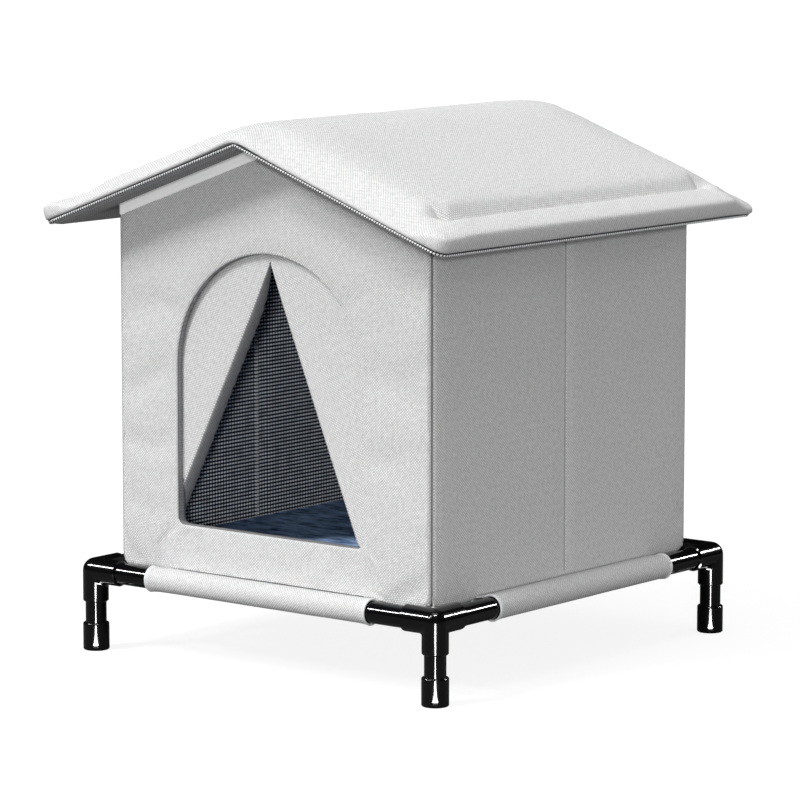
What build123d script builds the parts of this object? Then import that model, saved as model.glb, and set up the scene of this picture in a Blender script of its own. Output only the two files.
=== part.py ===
"""Raised cat house: a padded fabric house with a tent door, standing on a low pipe cot.

Millimetres, +Z up. The origin is on the ground under the middle of the roof.
The door is on the -Y side. Left and right are -X and +X.
"""

from build123d import *
from math import cos, radians, sin, sqrt, tan
import os

os.makedirs("parts", exist_ok=True)

# Pipe cot
GROUND_CLEARANCE = 89.0       # ground to the underside of the house
PIPE_OD = 21.3                # half-inch furniture pipe
PIPE_WALL = 1.8
PIPE_DROP = 8.0               # pipe axis below the underside of the house
PIPE_STANDOFF = 17.6          # pipe axis out from the wall faces
SOCKET_PLAY = 0.05            # radial, pipe in a fitting or a foot
FITTING_OD = 26.0
FITTING_ARM = 35.0            # corner axis to the end of a level arm
FITTING_DROP = 31.5           # corner axis to the end of the leg arm
FITTING_STOP = 14.0           # corner axis to the bottom of each socket
FITTING_CROTCH = 4.0          # fillet between two arms
FITTING_LIP = 1.2             # chamfer round each socket mouth
FOOT_OD = 26.6
FOOT_HEIGHT = 28.0
FOOT_FLOOR = 4.0
FOOT_CROWN = 1.8
FOOT_CHAMFER = 1.0

# Cot sheet
SHEET_T = 1.5
SLEEVE_PLAY = 0.1             # radial, sleeve on its pipe
SLEEVE_HALF_FRONT = 140.0     # half length of the front and rear sleeves
SLEEVE_HALF_SIDE = 143.0      # half length of the side sleeves
SHEET_CORNER_IN = 30.0        # how far in from the pipes the corner cut-outs begin

# House body
HOUSE_W = 400.0
HOUSE_D = 426.0
SKIN_T = 1.5                  # padded outer fabric
WALL_BOARD_T = 9.0
LINER_T = 1.5
SKIN_EDGE_R = 2.5             # rounding of each cover at its seams
FLOOR_BOARD_T = 8.0
FOLD_GAP = 3.0                # gap between the two boards of a side wall
CREASE_W = 3.0
CREASE_DEPTH = 0.8
BINDING_H = 12.0
BINDING_T = 1.6
BINDING_INSET = 5.5           # ends of the gable binding, in from the side faces

# Roof
ROOF_PITCH = 20.0             # degrees
RIDGE_UNDERSIDE = 435.5       # above the underside of the house
SIDE_OVERHANG = 49.0          # wall face to the eave seam
FRONT_OVERHANG = 51.5         # wall face to the rake seam
REAR_OVERHANG = 39.0
ROOF_LINING_T = 1.5
ROOF_BOARD_T = 5.0
ROOF_BULGE = 4.0              # how far the padded edge stands out past its seam
ROOF_EDGE_TOP_R = 10.0        # rounding of the padded edge, above
ROOF_CORNER_R = 14.0          # plan radius of the eave corners
RIDGE_H = 15.5                # thickness over the ridge, upright
BRIM_T = 20.0                 # edge thickness at the eave
CROWN_T = 25.5                # pad top over the middle of a slope
CROWN_RISE = 55.0             # width over which the pad puffs up to it
CROWN_R = 120.0               # rounding at the top of that rise
PUFF_FROM_RAKE = 12.0         # foot of the puff, in from the outer edge
PUFF_FOOT_T = 13.0
BOARD_MARGIN = 3.0            # board and lining edges, in from the seam
BOARD_RIDGE_GAP = 6.0
GROOVE_FROM_EAVE = 35.0       # quilted channel, in from the eave seam
GROOVE_FROM_RAKE = 45.0
GROOVE_FLOOR_T = 10.0         # roof thickness left under the channel
GROOVE_R = 16.0               # radius of the channel's section
GROOVE_TURN_R = 22.0          # plan radius where it turns up the slope
GROOVE_TAIL = 55.0            # length over which each end fades out
GROOVE_TAIL_RISE = 24.0
RIM_W = 32.0                  # padded rim of the roof lining
RIM_T = 4.0
RIM_EDGE_R = 3.0
RIM_SEAM_IN = 3.0
PIPING_D = 3.0

# Door and its curtains
DOOR_X = -4.0
DOOR_HALF_W = 118.0
DOOR_SILL = 47.0              # above the underside of the house
DOOR_SPRING = 206.5           # centre of the arch, above the same
DOOR_SILL_R = 8.0
CURTAIN_T = 1.5
CURTAIN_MARGIN = 8.0          # hem sewn behind the door edge
FOLD_APEX = 317.0             # top of the open triangle, above the underside of the house
FOLD_HALF_W = 107.0           # half width of the open triangle at the sill
FOLD_FOOT = 2.0               # foot of each fold above the sill
FOLD_R_TOP = 6.0              # radius of the rolled edge at its ends
FOLD_R_FOOT = 8.0
FLAP_PLAY = 0.3               # flap off the rolled edge
FLAP_SLIT = 1.0               # each flap's edge off the middle of the door
FLAP_HEM_UP = 3.0             # flap's lower edge above the sill
FLAP_TOP_CUT = 22.0           # flap's blunt top below the apex

# Floor mat
MAT_T = 12.5
MAT_SIDE_GAP = 4.0
MAT_END_GAP = 24.0
MAT_CORNER_R = 18.0
MAT_EDGE_R = 5.0

# Places that follow from the sizes above
DECK = GROUND_CLEARANCE
WALL_T = SKIN_T + WALL_BOARD_T + LINER_T
HALF_W = HOUSE_W / 2
HALF_D = HOUSE_D / 2
HOUSE_Y = (FRONT_OVERHANG - REAR_OVERHANG) / 2
FRONT_Y = HOUSE_Y - HALF_D
INNER_FRONT_Y = FRONT_Y + WALL_T
SLOPE = tan(radians(ROOF_PITCH))
RIDGE_Z = DECK + RIDGE_UNDERSIDE
SLOPE_LENGTH = (HALF_W + SIDE_OVERHANG) / cos(radians(ROOF_PITCH))
HALF_ROOF = (HOUSE_D + FRONT_OVERHANG + REAR_OVERHANG) / 2
PIPE_X = HALF_W + PIPE_STANDOFF
PIPE_Y = HALF_D + PIPE_STANDOFF
PIPE_Z = DECK - PIPE_DROP
PIPE_R = PIPE_OD / 2
FLOOR_TOP = DECK + SKIN_T + FLOOR_BOARD_T + LINER_T
SILL_Z = DECK + DOOR_SILL
SPRING_Z = DECK + DOOR_SPRING
APEX_Z = DECK + FOLD_APEX
FOLD_FOOT_Z = SILL_Z + FOLD_FOOT

MIDDLE_XZ = Plane.XZ.offset(-HOUSE_Y)


def save(piece, name):
    """Label a finished piece and write its file."""
    piece.part.label = name
    export_step(piece.part, f"parts/{name}.step")


def upright(y):
    """An XZ working plane at depth y, whose normal points to the front."""
    return Plane.XZ.offset(-y)


def mirrored(piece, plane):
    """The same piece on the other side of a plane."""
    with BuildPart() as other:
        mirror(piece.part, about=plane)
    return other


def save_at_corners(piece, name):
    """Save a front left piece and its mirror images at the other three corners."""
    front_right = mirrored(piece, Plane.YZ)
    save(piece, f"{name}_front_left")
    save(front_right, f"{name}_front_right")
    save(mirrored(piece, MIDDLE_XZ), f"{name}_rear_left")
    save(mirrored(front_right, MIDDLE_XZ), f"{name}_rear_right")


def pipe(plane, length):
    """A pipe from the plane's origin along its normal."""
    with BuildPart() as tube:
        with BuildSketch(plane):
            Circle(PIPE_R)
            Circle(PIPE_R - PIPE_WALL, mode=Mode.SUBTRACT)
        extrude(amount=length)
    return tube


# Corner fitting: two level arms and a leg arm, each with a blind socket for its pipe
CORNER = Vector(-PIPE_X, HOUSE_Y - PIPE_Y, PIPE_Z)
ARMS = (
    (Vector(1, 0, 0), FITTING_ARM),
    (Vector(0, 1, 0), FITTING_ARM),
    (Vector(0, 0, -1), FITTING_DROP),
)
with BuildPart() as corner_fitting:
    with Locations(CORNER):
        Sphere(FITTING_OD / 2)
    for direction, reach in ARMS:
        with BuildSketch(Plane(origin=CORNER, z_dir=direction)):
            Circle(FITTING_OD / 2)
        extrude(amount=reach)
    fillet(corner_fitting.edges().filter_by(GeomType.ELLIPSE), FITTING_CROTCH)
    for direction, reach in ARMS:
        mouth = corner_fitting.faces().sort_by(Axis((0, 0, 0), direction))[-1]
        chamfer(mouth.edges(), FITTING_LIP)
        with BuildSketch(Plane(origin=CORNER + direction * FITTING_STOP, z_dir=direction)):
            Circle(PIPE_R + SOCKET_PLAY)
        extrude(amount=reach - FITTING_STOP, mode=Mode.SUBTRACT)
save_at_corners(corner_fitting, "corner_fitting")

# Foot: moulded cap on the lower end of a leg
with BuildPart() as foot:
    with BuildSketch(Plane((CORNER.X, CORNER.Y, 0))):
        Circle(FOOT_OD / 2)
    extrude(amount=FOOT_HEIGHT)
    fillet(foot.faces().sort_by(Axis.Z)[-1].edges(), FOOT_CROWN)
    chamfer(foot.faces().sort_by(Axis.Z)[0].edges(), FOOT_CHAMFER)
    with BuildSketch(Plane((CORNER.X, CORNER.Y, FOOT_FLOOR))):
        Circle(PIPE_R + SOCKET_PLAY)
    extrude(amount=FOOT_HEIGHT - FOOT_FLOOR, mode=Mode.SUBTRACT)
save_at_corners(foot, "foot")

# Pipes: four legs and four rails, each bottomed in its sockets
leg = pipe(Plane((CORNER.X, CORNER.Y, FOOT_FLOOR)), PIPE_Z - FITTING_STOP - FOOT_FLOOR)
save_at_corners(leg, "leg")
CROSS_RAIL = 2 * (PIPE_X - FITTING_STOP)
SIDE_RAIL = 2 * (PIPE_Y - FITTING_STOP)
for rail_name, side in (("front", -1), ("rear", 1)):
    start = (-CROSS_RAIL / 2, HOUSE_Y + side * PIPE_Y, PIPE_Z)
    save(pipe(Plane(origin=start, z_dir=(1, 0, 0)), CROSS_RAIL), f"rail_{rail_name}")
for rail_name, side in (("left", -1), ("right", 1)):
    start = (side * PIPE_X, HOUSE_Y - SIDE_RAIL / 2, PIPE_Z)
    save(pipe(Plane(origin=start, z_dir=(0, 1, 0)), SIDE_RAIL), f"rail_{rail_name}")

# Cot sheet: a deck with a sleeve round each pipe and its corners cut away
SLEEVE_IN = PIPE_R + SLEEVE_PLAY
SLEEVE_OUT = SLEEVE_IN + SHEET_T
SLEEVE_RUNS = (
    (Vector(0, -PIPE_Y, 0), Vector(1, 0, 0), SLEEVE_HALF_FRONT),
    (Vector(0, PIPE_Y, 0), Vector(1, 0, 0), SLEEVE_HALF_FRONT),
    (Vector(-PIPE_X, 0, 0), Vector(0, 1, 0), SLEEVE_HALF_SIDE),
    (Vector(PIPE_X, 0, 0), Vector(0, 1, 0), SLEEVE_HALF_SIDE),
)
with BuildPart() as cot_sheet:
    with BuildSketch(Plane.XY.offset(DECK - SHEET_T)):
        with Locations((0, HOUSE_Y)):
            Rectangle(2 * SLEEVE_HALF_FRONT, 2 * PIPE_Y)
            Rectangle(2 * PIPE_X, 2 * SLEEVE_HALF_SIDE)
            Rectangle(2 * (PIPE_X - SHEET_CORNER_IN), 2 * (PIPE_Y - SHEET_CORNER_IN))
    extrude(amount=SHEET_T)
    for offset_to_pipe, along, half in SLEEVE_RUNS:
        middle = Vector(0, HOUSE_Y, PIPE_Z) + offset_to_pipe
        with BuildSketch(Plane(origin=middle - along * half, z_dir=along)):
            Circle(SLEEVE_OUT)
        extrude(amount=2 * half)
    for offset_to_pipe, along, half in SLEEVE_RUNS:
        middle = Vector(0, HOUSE_Y, PIPE_Z) + offset_to_pipe
        with BuildSketch(Plane(origin=middle - along * half, z_dir=along)):
            Circle(SLEEVE_IN)
        extrude(amount=2 * half, mode=Mode.SUBTRACT)
save(cot_sheet, "cot_sheet")


# House walls: padded covers over boards, with a dark liner inside

def door_arch(margin):
    """The arched door outline, grown by a margin, as a flat sketch."""
    half = DOOR_HALF_W + margin
    with BuildSketch() as arch:
        with BuildLine():
            Polyline(
                (DOOR_X - half, SPRING_Z),
                (DOOR_X - half, SILL_Z - margin),
                (DOOR_X + half, SILL_Z - margin),
                (DOOR_X + half, SPRING_Z),
            )
            ThreePointArc(
                (DOOR_X + half, SPRING_Z),
                (DOOR_X, SPRING_Z + half),
                (DOOR_X - half, SPRING_Z),
            )
        make_face()
        fillet(arch.vertices().group_by(Axis.Y)[0], DOOR_SILL_R + margin)
    return arch.sketch


def gable_layer(near, far, margin, has_door, edge_r):
    """One layer of a gable wall, from depth near to depth far, mitred at its ends.

    The margin draws the layer's edges in and its door outwards.
    """
    shift = margin * sqrt(2)
    top = RIDGE_Z - margin / cos(radians(ROOF_PITCH))
    with BuildPart() as layer:
        with BuildSketch(upright(FRONT_Y + near)):
            Polygon(
                (-HALF_W, DECK + margin),
                (HALF_W, DECK + margin),
                (HALF_W, top - SLOPE * HALF_W),
                (0, top),
                (-HALF_W, top - SLOPE * HALF_W),
                align=None,
            )
        extrude(amount=near - far)
        with BuildSketch(Plane.XY.offset(DECK)):
            Polygon(
                (-HALF_W + shift + near, FRONT_Y + near),
                (HALF_W - shift - near, FRONT_Y + near),
                (HALF_W - shift - far, FRONT_Y + far),
                (-HALF_W + shift + far, FRONT_Y + far),
                align=None,
            )
        extrude(amount=RIDGE_UNDERSIDE, mode=Mode.INTERSECT)
        if has_door:
            with BuildSketch(upright(FRONT_Y + near)):
                add(door_arch(margin))
            extrude(amount=near - far, mode=Mode.SUBTRACT)
        if edge_r > 0:
            outer = layer.faces().sort_by(Axis.Y)[0]
            seams = [edge for edge in outer.edges() if not is_gable_edge(edge)]
            fillet(seams, edge_r)
    return layer


def is_gable_edge(edge):
    """True for the two sloping edges under the roof."""
    tangent = edge.tangent_at(0.5)
    straight = edge.geom_type == GeomType.LINE
    return straight and abs(tangent.Z) > 0.1 and abs(tangent.X) > 0.1


def side_layer(near, far, margin, edge_r):
    """One layer of the right wall, from depth near to depth far, mitred at its ends."""
    shift = margin * sqrt(2)
    drop = margin / cos(radians(ROOF_PITCH))
    with BuildPart() as layer:
        with BuildSketch(upright(HOUSE_Y + HALF_D)):
            Polygon(
                (HALF_W - near, DECK + margin),
                (HALF_W - near, RIDGE_Z - drop - SLOPE * (HALF_W - near)),
                (HALF_W - far, RIDGE_Z - drop - SLOPE * (HALF_W - far)),
                (HALF_W - far, DECK + margin),
                align=None,
            )
        extrude(amount=HOUSE_D)
        with BuildSketch(Plane.XY.offset(DECK)):
            Polygon(
                (HALF_W - near, FRONT_Y + shift + near),
                (HALF_W - near, FRONT_Y + HOUSE_D - shift - near),
                (HALF_W - far, FRONT_Y + HOUSE_D - shift - far),
                (HALF_W - far, FRONT_Y + shift + far),
                align=None,
            )
        extrude(amount=RIDGE_UNDERSIDE, mode=Mode.INTERSECT)
        if edge_r > 0:
            outer = layer.faces().sort_by(Axis.X)[-1]
            fillet(outer.edges() - outer.edges().group_by(Axis.Z)[-1], edge_r)
    return layer


def covered(envelope, core):
    """The cover that is left when a wall's core is taken out of its envelope."""
    with BuildPart() as cover:
        add(envelope.part)
        add(core.part, mode=Mode.SUBTRACT)
    return cover


BOARD_BACK = SKIN_T + WALL_BOARD_T
CORE_EDGE_R = SKIN_EDGE_R - SKIN_T

for gable_name, has_door in (("front", True), ("rear", False)):
    board = gable_layer(SKIN_T, BOARD_BACK, SKIN_T, has_door, CORE_EDGE_R)
    envelope = gable_layer(0, BOARD_BACK, 0, has_door, SKIN_EDGE_R)
    cover = covered(envelope, board)
    liner = gable_layer(BOARD_BACK, WALL_T, 0, has_door, 0)
    with BuildPart() as binding:
        with BuildSketch(upright(FRONT_Y)):
            reach = HALF_W - BINDING_INSET
            Polygon(
                (0, RIDGE_Z),
                (reach, RIDGE_Z - SLOPE * reach),
                (reach, RIDGE_Z - SLOPE * reach - BINDING_H),
                (0, RIDGE_Z - BINDING_H),
                (-reach, RIDGE_Z - SLOPE * reach - BINDING_H),
                (-reach, RIDGE_Z - SLOPE * reach),
                align=None,
            )
        extrude(amount=BINDING_T)
    pieces = {"board": board, "cover": cover, "liner": liner, "gable_binding": binding}
    for piece_name, piece in pieces.items():
        if gable_name == "rear":
            piece = mirrored(piece, MIDDLE_XZ)
        if piece_name == "gable_binding":
            save(piece, f"gable_binding_{gable_name}")
        else:
            save(piece, f"{gable_name}_{piece_name}")

side_core = side_layer(SKIN_T, BOARD_BACK, SKIN_T, CORE_EDGE_R)
side_liner = side_layer(BOARD_BACK, WALL_T, 0, 0)
with BuildPart() as side_cover:
    add(side_layer(0, BOARD_BACK, 0, SKIN_EDGE_R).part)
    add(side_core.part, mode=Mode.SUBTRACT)
    with BuildSketch(Plane.XY.offset(DECK)):
        Polygon(
            (HALF_W, HOUSE_Y - CREASE_W / 2),
            (HALF_W, HOUSE_Y + CREASE_W / 2),
            (HALF_W - CREASE_DEPTH, HOUSE_Y),
            align=None,
        )
    extrude(amount=RIDGE_UNDERSIDE, mode=Mode.SUBTRACT)


def half_board(side):
    """The front or rear half of a side wall's board, short of the fold line."""
    with BuildPart() as board:
        add(side_core.part)
        keep = Keep.TOP if side > 0 else Keep.BOTTOM
        split(bisect_by=Plane(origin=(0, HOUSE_Y + side * FOLD_GAP / 2, 0), z_dir=(0, 1, 0)),
              keep=keep)
    return board


side_pieces = {
    "cover": side_cover,
    "board_front": half_board(-1),
    "board_rear": half_board(1),
    "liner": side_liner,
}
for piece_name, piece in side_pieces.items():
    save(piece, f"right_{piece_name}")
    save(mirrored(piece, Plane.YZ), f"left_{piece_name}")

# Floor: cover, board and liner between the walls
floor_level = DECK
for piece_name, thickness in (
    ("cover", SKIN_T),
    ("board", FLOOR_BOARD_T),
    ("liner", LINER_T),
):
    with BuildPart() as floor_piece:
        with BuildSketch(Plane.XY.offset(floor_level)):
            with Locations((0, HOUSE_Y)):
                Rectangle(HOUSE_W - 2 * WALL_T, HOUSE_D - 2 * WALL_T)
        extrude(amount=thickness)
    save(floor_piece, f"floor_{piece_name}")
    floor_level += thickness

# Floor mat: a crowned plush pad lying loose on the floor
with BuildPart() as floor_mat:
    with BuildSketch(Plane.XY.offset(FLOOR_TOP)):
        with Locations((0, HOUSE_Y)):
            RectangleRounded(
                HOUSE_W - 2 * (WALL_T + MAT_SIDE_GAP),
                HOUSE_D - 2 * (WALL_T + MAT_END_GAP),
                MAT_CORNER_R,
            )
    extrude(amount=MAT_T)
    fillet(floor_mat.faces().sort_by(Axis.Z)[-1].edges(), MAT_EDGE_R)
save(floor_mat, "floor_mat")


# Door curtains: a fixed panel each side with its rolled edge, and a flap folded back behind it

def fold_line(side):
    """Foot and head of a curtain's fold, on the face of the fixed panel."""
    foot_point = Vector(DOOR_X + side * FOLD_HALF_W, INNER_FRONT_Y, FOLD_FOOT_Z)
    head_point = Vector(DOOR_X, INNER_FRONT_Y, APEX_Z)
    return foot_point, head_point


def roll_centres(side):
    """Foot and head of the line down the middle of the rolled edge."""
    foot_point, head_point = fold_line(side)
    roll_head = head_point + (foot_point - head_point) * (FLAP_TOP_CUT / (APEX_Z - FOLD_FOOT_Z))
    return foot_point + Vector(0, FOLD_R_FOOT, 0), roll_head + Vector(0, FOLD_R_TOP, 0)


def rolled_section(centre, along, inward, radius):
    """Half ring of cloth from the panel's face round to the back of the fold."""
    with BuildSketch(Plane(origin=centre, x_dir=inward, z_dir=along)) as section:
        Circle(radius)
        Circle(radius - CURTAIN_T, mode=Mode.SUBTRACT)
        with Locations((radius, 0)):
            Rectangle(2 * radius, 2 * radius, mode=Mode.INTERSECT)
    return section.sketch


def curtain_panel(side):
    """The part of a curtain that stays flat across the door, with its rolled edge."""
    foot_point, head_point = fold_line(side)
    along = (head_point - foot_point).normalized()
    inward = Vector(-side * along.Z, 0, side * along.X)
    foot_centre, head_centre = roll_centres(side)
    roll = [
        rolled_section(foot_centre, along, inward, FOLD_R_FOOT),
        rolled_section(head_centre, along, inward, FOLD_R_TOP),
    ]
    outer = DOOR_X + side * (DOOR_HALF_W + CURTAIN_MARGIN)
    with BuildPart() as panel:
        with BuildSketch(upright(INNER_FRONT_Y)):
            add(door_arch(CURTAIN_MARGIN))
            Polygon(
                (foot_point.X, foot_point.Z),
                (head_point.X, head_point.Z),
                (DOOR_X, SPRING_Z + DOOR_HALF_W + CURTAIN_MARGIN),
                (outer, SPRING_Z + DOOR_HALF_W + CURTAIN_MARGIN),
                (outer, foot_point.Z),
                align=None,
                mode=Mode.INTERSECT,
            )
        extrude(amount=-CURTAIN_T)
        loft(sections=roll, ruled=True)
    return panel


def curtain_flap(side):
    """The swinging half of a curtain, drawn shut in the door, then folded back."""
    foot_point, head_point = fold_line(side)
    reach = (APEX_Z - FOLD_FOOT_Z) / FOLD_HALF_W
    hem = SILL_Z + FLAP_HEM_UP
    top = APEX_Z - FLAP_TOP_CUT
    edge = DOOR_X + side * FLAP_SLIT
    with BuildPart() as shut:
        with BuildSketch(upright(INNER_FRONT_Y - FLAP_PLAY)):
            Polygon(
                (foot_point.X - side * (hem - FOLD_FOOT_Z) / reach, hem),
                (edge, hem),
                (edge, top),
                (DOOR_X + side * (APEX_Z - top) / reach, top),
                align=None,
            )
        extrude(amount=CURTAIN_T)
    foot_centre, head_centre = roll_centres(side)
    with BuildPart() as flap:
        add(shut.part.rotate(Axis(foot_centre, head_centre - foot_centre), 180))
    return flap


for curtain_name, side in (("left", -1), ("right", 1)):
    save(curtain_panel(side), f"curtain_panel_{curtain_name}")
    save(curtain_flap(side), f"curtain_flap_{curtain_name}")

# Roof: on each slope a padded cover with a quilted channel, a board, a lining and piping
PITCH_COS = cos(radians(ROOF_PITCH))
PITCH_SIN = sin(radians(ROOF_PITCH))
DOWN_SLOPE = (PITCH_COS, 0, -PITCH_SIN)
SLOPE_NORMAL = (PITCH_SIN, 0, PITCH_COS)
SLOPE_PLANE = Plane(origin=(0, 0, RIDGE_Z), x_dir=DOWN_SLOPE, z_dir=SLOPE_NORMAL)
SECTION_PLANE = Plane(origin=(0, 0, RIDGE_Z), x_dir=DOWN_SLOPE, z_dir=(0, -1, 0))
ROOF_BED_T = ROOF_LINING_T + ROOF_BOARD_T
EAVE = SLOPE_LENGTH + ROOF_BULGE
RAKE = HALF_ROOF + ROOF_BULGE
BED_EAVE = SLOPE_LENGTH - BOARD_MARGIN
BED_RAKE = HALF_ROOF - BOARD_MARGIN
SEAM_CORNER_R = ROOF_CORNER_R - ROOF_BULGE
BED_CORNER_R = SEAM_CORNER_R - BOARD_MARGIN
ACROSS_SLOPE = Axis((0, 0, 0), SLOPE_NORMAL)


def ridge_point(height):
    """Where the upright ridge plane stands at a height over the slope's underside."""
    return (-height * SLOPE, height)


def slope_layer(start, low, high):
    """A flat layer of the right slope, from the given inner edge to the bed's edge."""
    with BuildPart() as layer:
        with BuildSketch(SECTION_PLANE):
            Polygon(
                (start + ridge_point(low)[0], low),
                (BED_EAVE, low),
                (BED_EAVE, high),
                (start + ridge_point(high)[0], high),
                align=None,
            )
        extrude(amount=BED_RAKE, both=True)
        fillet(layer.edges().filter_by(ACROSS_SLOPE), BED_CORNER_R)
    return layer


with BuildPart() as roof_puff:
    ridge_top = ridge_point(RIDGE_H * PITCH_COS)
    channel_u = SLOPE_LENGTH - GROOVE_FROM_EAVE
    with BuildSketch(SECTION_PLANE):
        with BuildLine():
            Polyline(ridge_top, (0, 0), (channel_u, 0), (channel_u, CROWN_T))
            FilletPolyline(
                (channel_u, CROWN_T), (CROWN_RISE, CROWN_T), ridge_top, radius=CROWN_R
            )
        make_face()
    extrude(amount=RAKE, both=True)
    puff_foot = RAKE - PUFF_FROM_RAKE
    with BuildSketch(Plane(origin=(0, 0, RIDGE_Z), x_dir=(0, 1, 0), z_dir=DOWN_SLOPE)) as crown:
        Polygon(
            (-puff_foot, 0),
            (puff_foot, 0),
            (puff_foot, PUFF_FOOT_T),
            (puff_foot - CROWN_RISE, CROWN_T),
            (-puff_foot + CROWN_RISE, CROWN_T),
            (-puff_foot, PUFF_FOOT_T),
            align=None,
        )
        fillet(crown.vertices().group_by(Axis.Y)[-1], CROWN_R)
    extrude(amount=EAVE, both=True, mode=Mode.INTERSECT)

with BuildPart() as roof_pad:
    with BuildSketch(SECTION_PLANE):
        Polygon(ridge_top, (0, 0), (EAVE, 0), (EAVE, BRIM_T), align=None)
    extrude(amount=RAKE, both=True)
    fillet(roof_pad.edges().filter_by(ACROSS_SLOPE), ROOF_CORNER_R)
    top = roof_pad.faces().sort_by(Axis((0, 0, 0), SLOPE_NORMAL))[-1]
    fillet(top.edges().sort_by(Axis.X)[1:], ROOF_EDGE_TOP_R)
    underside = roof_pad.faces().sort_by(Axis((0, 0, 0), SLOPE_NORMAL))[0]
    fillet(underside.edges().sort_by(Axis.X)[1:], ROOF_BULGE)
    add(roof_puff.part)
    add(slope_layer(0, 0, ROOF_BED_T).part, mode=Mode.SUBTRACT)
    channel_v = HALF_ROOF - GROOVE_FROM_RAKE
    channel_n = GROOVE_FLOOR_T + GROOVE_R
    tail_u = channel_u - GROOVE_TAIL
    tail_n = channel_n + GROOVE_TAIL_RISE
    channel_points = (
        (tail_u, -channel_v, tail_n),
        (channel_u, -channel_v, channel_n),
        (channel_u, channel_v, channel_n),
        (tail_u, channel_v, tail_n),
    )
    with BuildLine() as channel:
        FilletPolyline(
            *[SLOPE_PLANE.from_local_coords(Vector(point)) for point in channel_points],
            radius=GROOVE_TURN_R,
        )
    with BuildSketch(Plane(origin=channel.line @ 0, z_dir=channel.line % 0)):
        Circle(GROOVE_R)
    sweep(path=channel.line, mode=Mode.SUBTRACT)

roof_board = slope_layer(BOARD_RIDGE_GAP, ROOF_LINING_T, ROOF_BED_T)

with BuildPart() as roof_lining:
    rim_eave = SLOPE_LENGTH - RIM_SEAM_IN
    rim_rake = HALF_ROOF - RIM_SEAM_IN
    with BuildSketch(SLOPE_PLANE.offset(-RIM_T)):
        with Locations((rim_eave / 2, 0)):
            Rectangle(rim_eave, 2 * rim_rake)
        with Locations((rim_eave / 2 - RIM_W, 0)):
            Rectangle(rim_eave, 2 * (rim_rake - RIM_W), mode=Mode.SUBTRACT)
    extrude(amount=RIM_T)
    outer_corners = roof_lining.edges().filter_by(ACROSS_SLOPE).group_by(Axis.Z)[0]
    fillet(outer_corners, BED_CORNER_R)
    rim_face = roof_lining.faces().filter_by(SLOPE_PLANE).sort_by(Axis.Z)[0]
    fillet(rim_face.edges().sort_by(Axis.Z)[:-2], RIM_EDGE_R)
    split(bisect_by=Plane.YZ, keep=Keep.TOP)
    add(slope_layer(0, 0, ROOF_LINING_T).part)

with BuildPart() as roof_piping:
    seam_u = SLOPE_LENGTH - BOARD_MARGIN / 2
    seam_v = HALF_ROOF - BOARD_MARGIN / 2
    seam_n = BOARD_MARGIN / 2 - PIPING_D
    seam_points = ((0, -seam_v), (seam_u, -seam_v), (seam_u, seam_v), (0, seam_v))
    with BuildLine(SLOPE_PLANE.offset(seam_n)) as seam:
        FilletPolyline(*seam_points, radius=SEAM_CORNER_R - BOARD_MARGIN / 2)
    with BuildSketch(Plane(origin=seam.line @ 0, z_dir=seam.line % 0)):
        Circle(PIPING_D / 2)
    sweep(path=seam.line)
    split(bisect_by=SLOPE_PLANE, keep=Keep.BOTTOM)
    split(bisect_by=Plane.YZ, keep=Keep.TOP)

roof_pieces = {
    "pad": roof_pad,
    "board": roof_board,
    "lining": roof_lining,
    "piping": roof_piping,
}
for piece_name, piece in roof_pieces.items():
    save(piece, f"roof_{piece_name}_right")
    save(mirrored(piece, Plane.YZ), f"roof_{piece_name}_left")
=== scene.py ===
from itertools import accumulate
from math import atan2, cos, dist, hypot, pi, radians, sin, sqrt

import bmesh
import bpy
from bpy.props import FloatProperty, FloatVectorProperty, PointerProperty
from mathutils import Matrix, Quaternion, Vector, noise


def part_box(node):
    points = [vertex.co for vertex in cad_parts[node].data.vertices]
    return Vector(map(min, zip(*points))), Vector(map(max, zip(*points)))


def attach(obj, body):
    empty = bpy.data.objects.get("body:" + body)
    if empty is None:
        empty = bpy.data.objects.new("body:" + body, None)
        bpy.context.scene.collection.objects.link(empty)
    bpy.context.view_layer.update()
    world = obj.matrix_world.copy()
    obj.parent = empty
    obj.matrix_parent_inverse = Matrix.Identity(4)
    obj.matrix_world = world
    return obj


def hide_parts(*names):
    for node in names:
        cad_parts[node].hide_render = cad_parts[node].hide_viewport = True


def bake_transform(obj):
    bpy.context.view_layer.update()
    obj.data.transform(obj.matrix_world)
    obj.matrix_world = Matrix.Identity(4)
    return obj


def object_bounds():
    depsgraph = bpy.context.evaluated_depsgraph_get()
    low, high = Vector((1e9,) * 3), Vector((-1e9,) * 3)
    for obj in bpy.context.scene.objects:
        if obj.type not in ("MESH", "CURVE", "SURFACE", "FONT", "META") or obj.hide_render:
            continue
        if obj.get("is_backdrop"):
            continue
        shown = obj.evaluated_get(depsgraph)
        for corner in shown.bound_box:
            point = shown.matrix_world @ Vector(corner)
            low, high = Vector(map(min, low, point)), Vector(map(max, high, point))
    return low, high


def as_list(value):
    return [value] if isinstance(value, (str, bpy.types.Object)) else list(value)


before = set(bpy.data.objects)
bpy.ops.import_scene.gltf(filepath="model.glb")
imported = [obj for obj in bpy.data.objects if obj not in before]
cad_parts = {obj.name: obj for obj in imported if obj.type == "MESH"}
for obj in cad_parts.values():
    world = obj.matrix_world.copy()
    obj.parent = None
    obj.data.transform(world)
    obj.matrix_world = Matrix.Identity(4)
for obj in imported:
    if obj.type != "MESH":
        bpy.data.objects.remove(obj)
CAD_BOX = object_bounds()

bl_info = {
    "name": "Raised Cat House",
    "version": (1, 0, 0),
    "blender": (4, 5, 0),
    "location": "View3D > Sidebar > Cat House",
    "description": "Soft covers, curtains, linings, mat, stitching and finishes of a raised cat house",
    "category": "Add Mesh",
}

MM = 0.001

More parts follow.
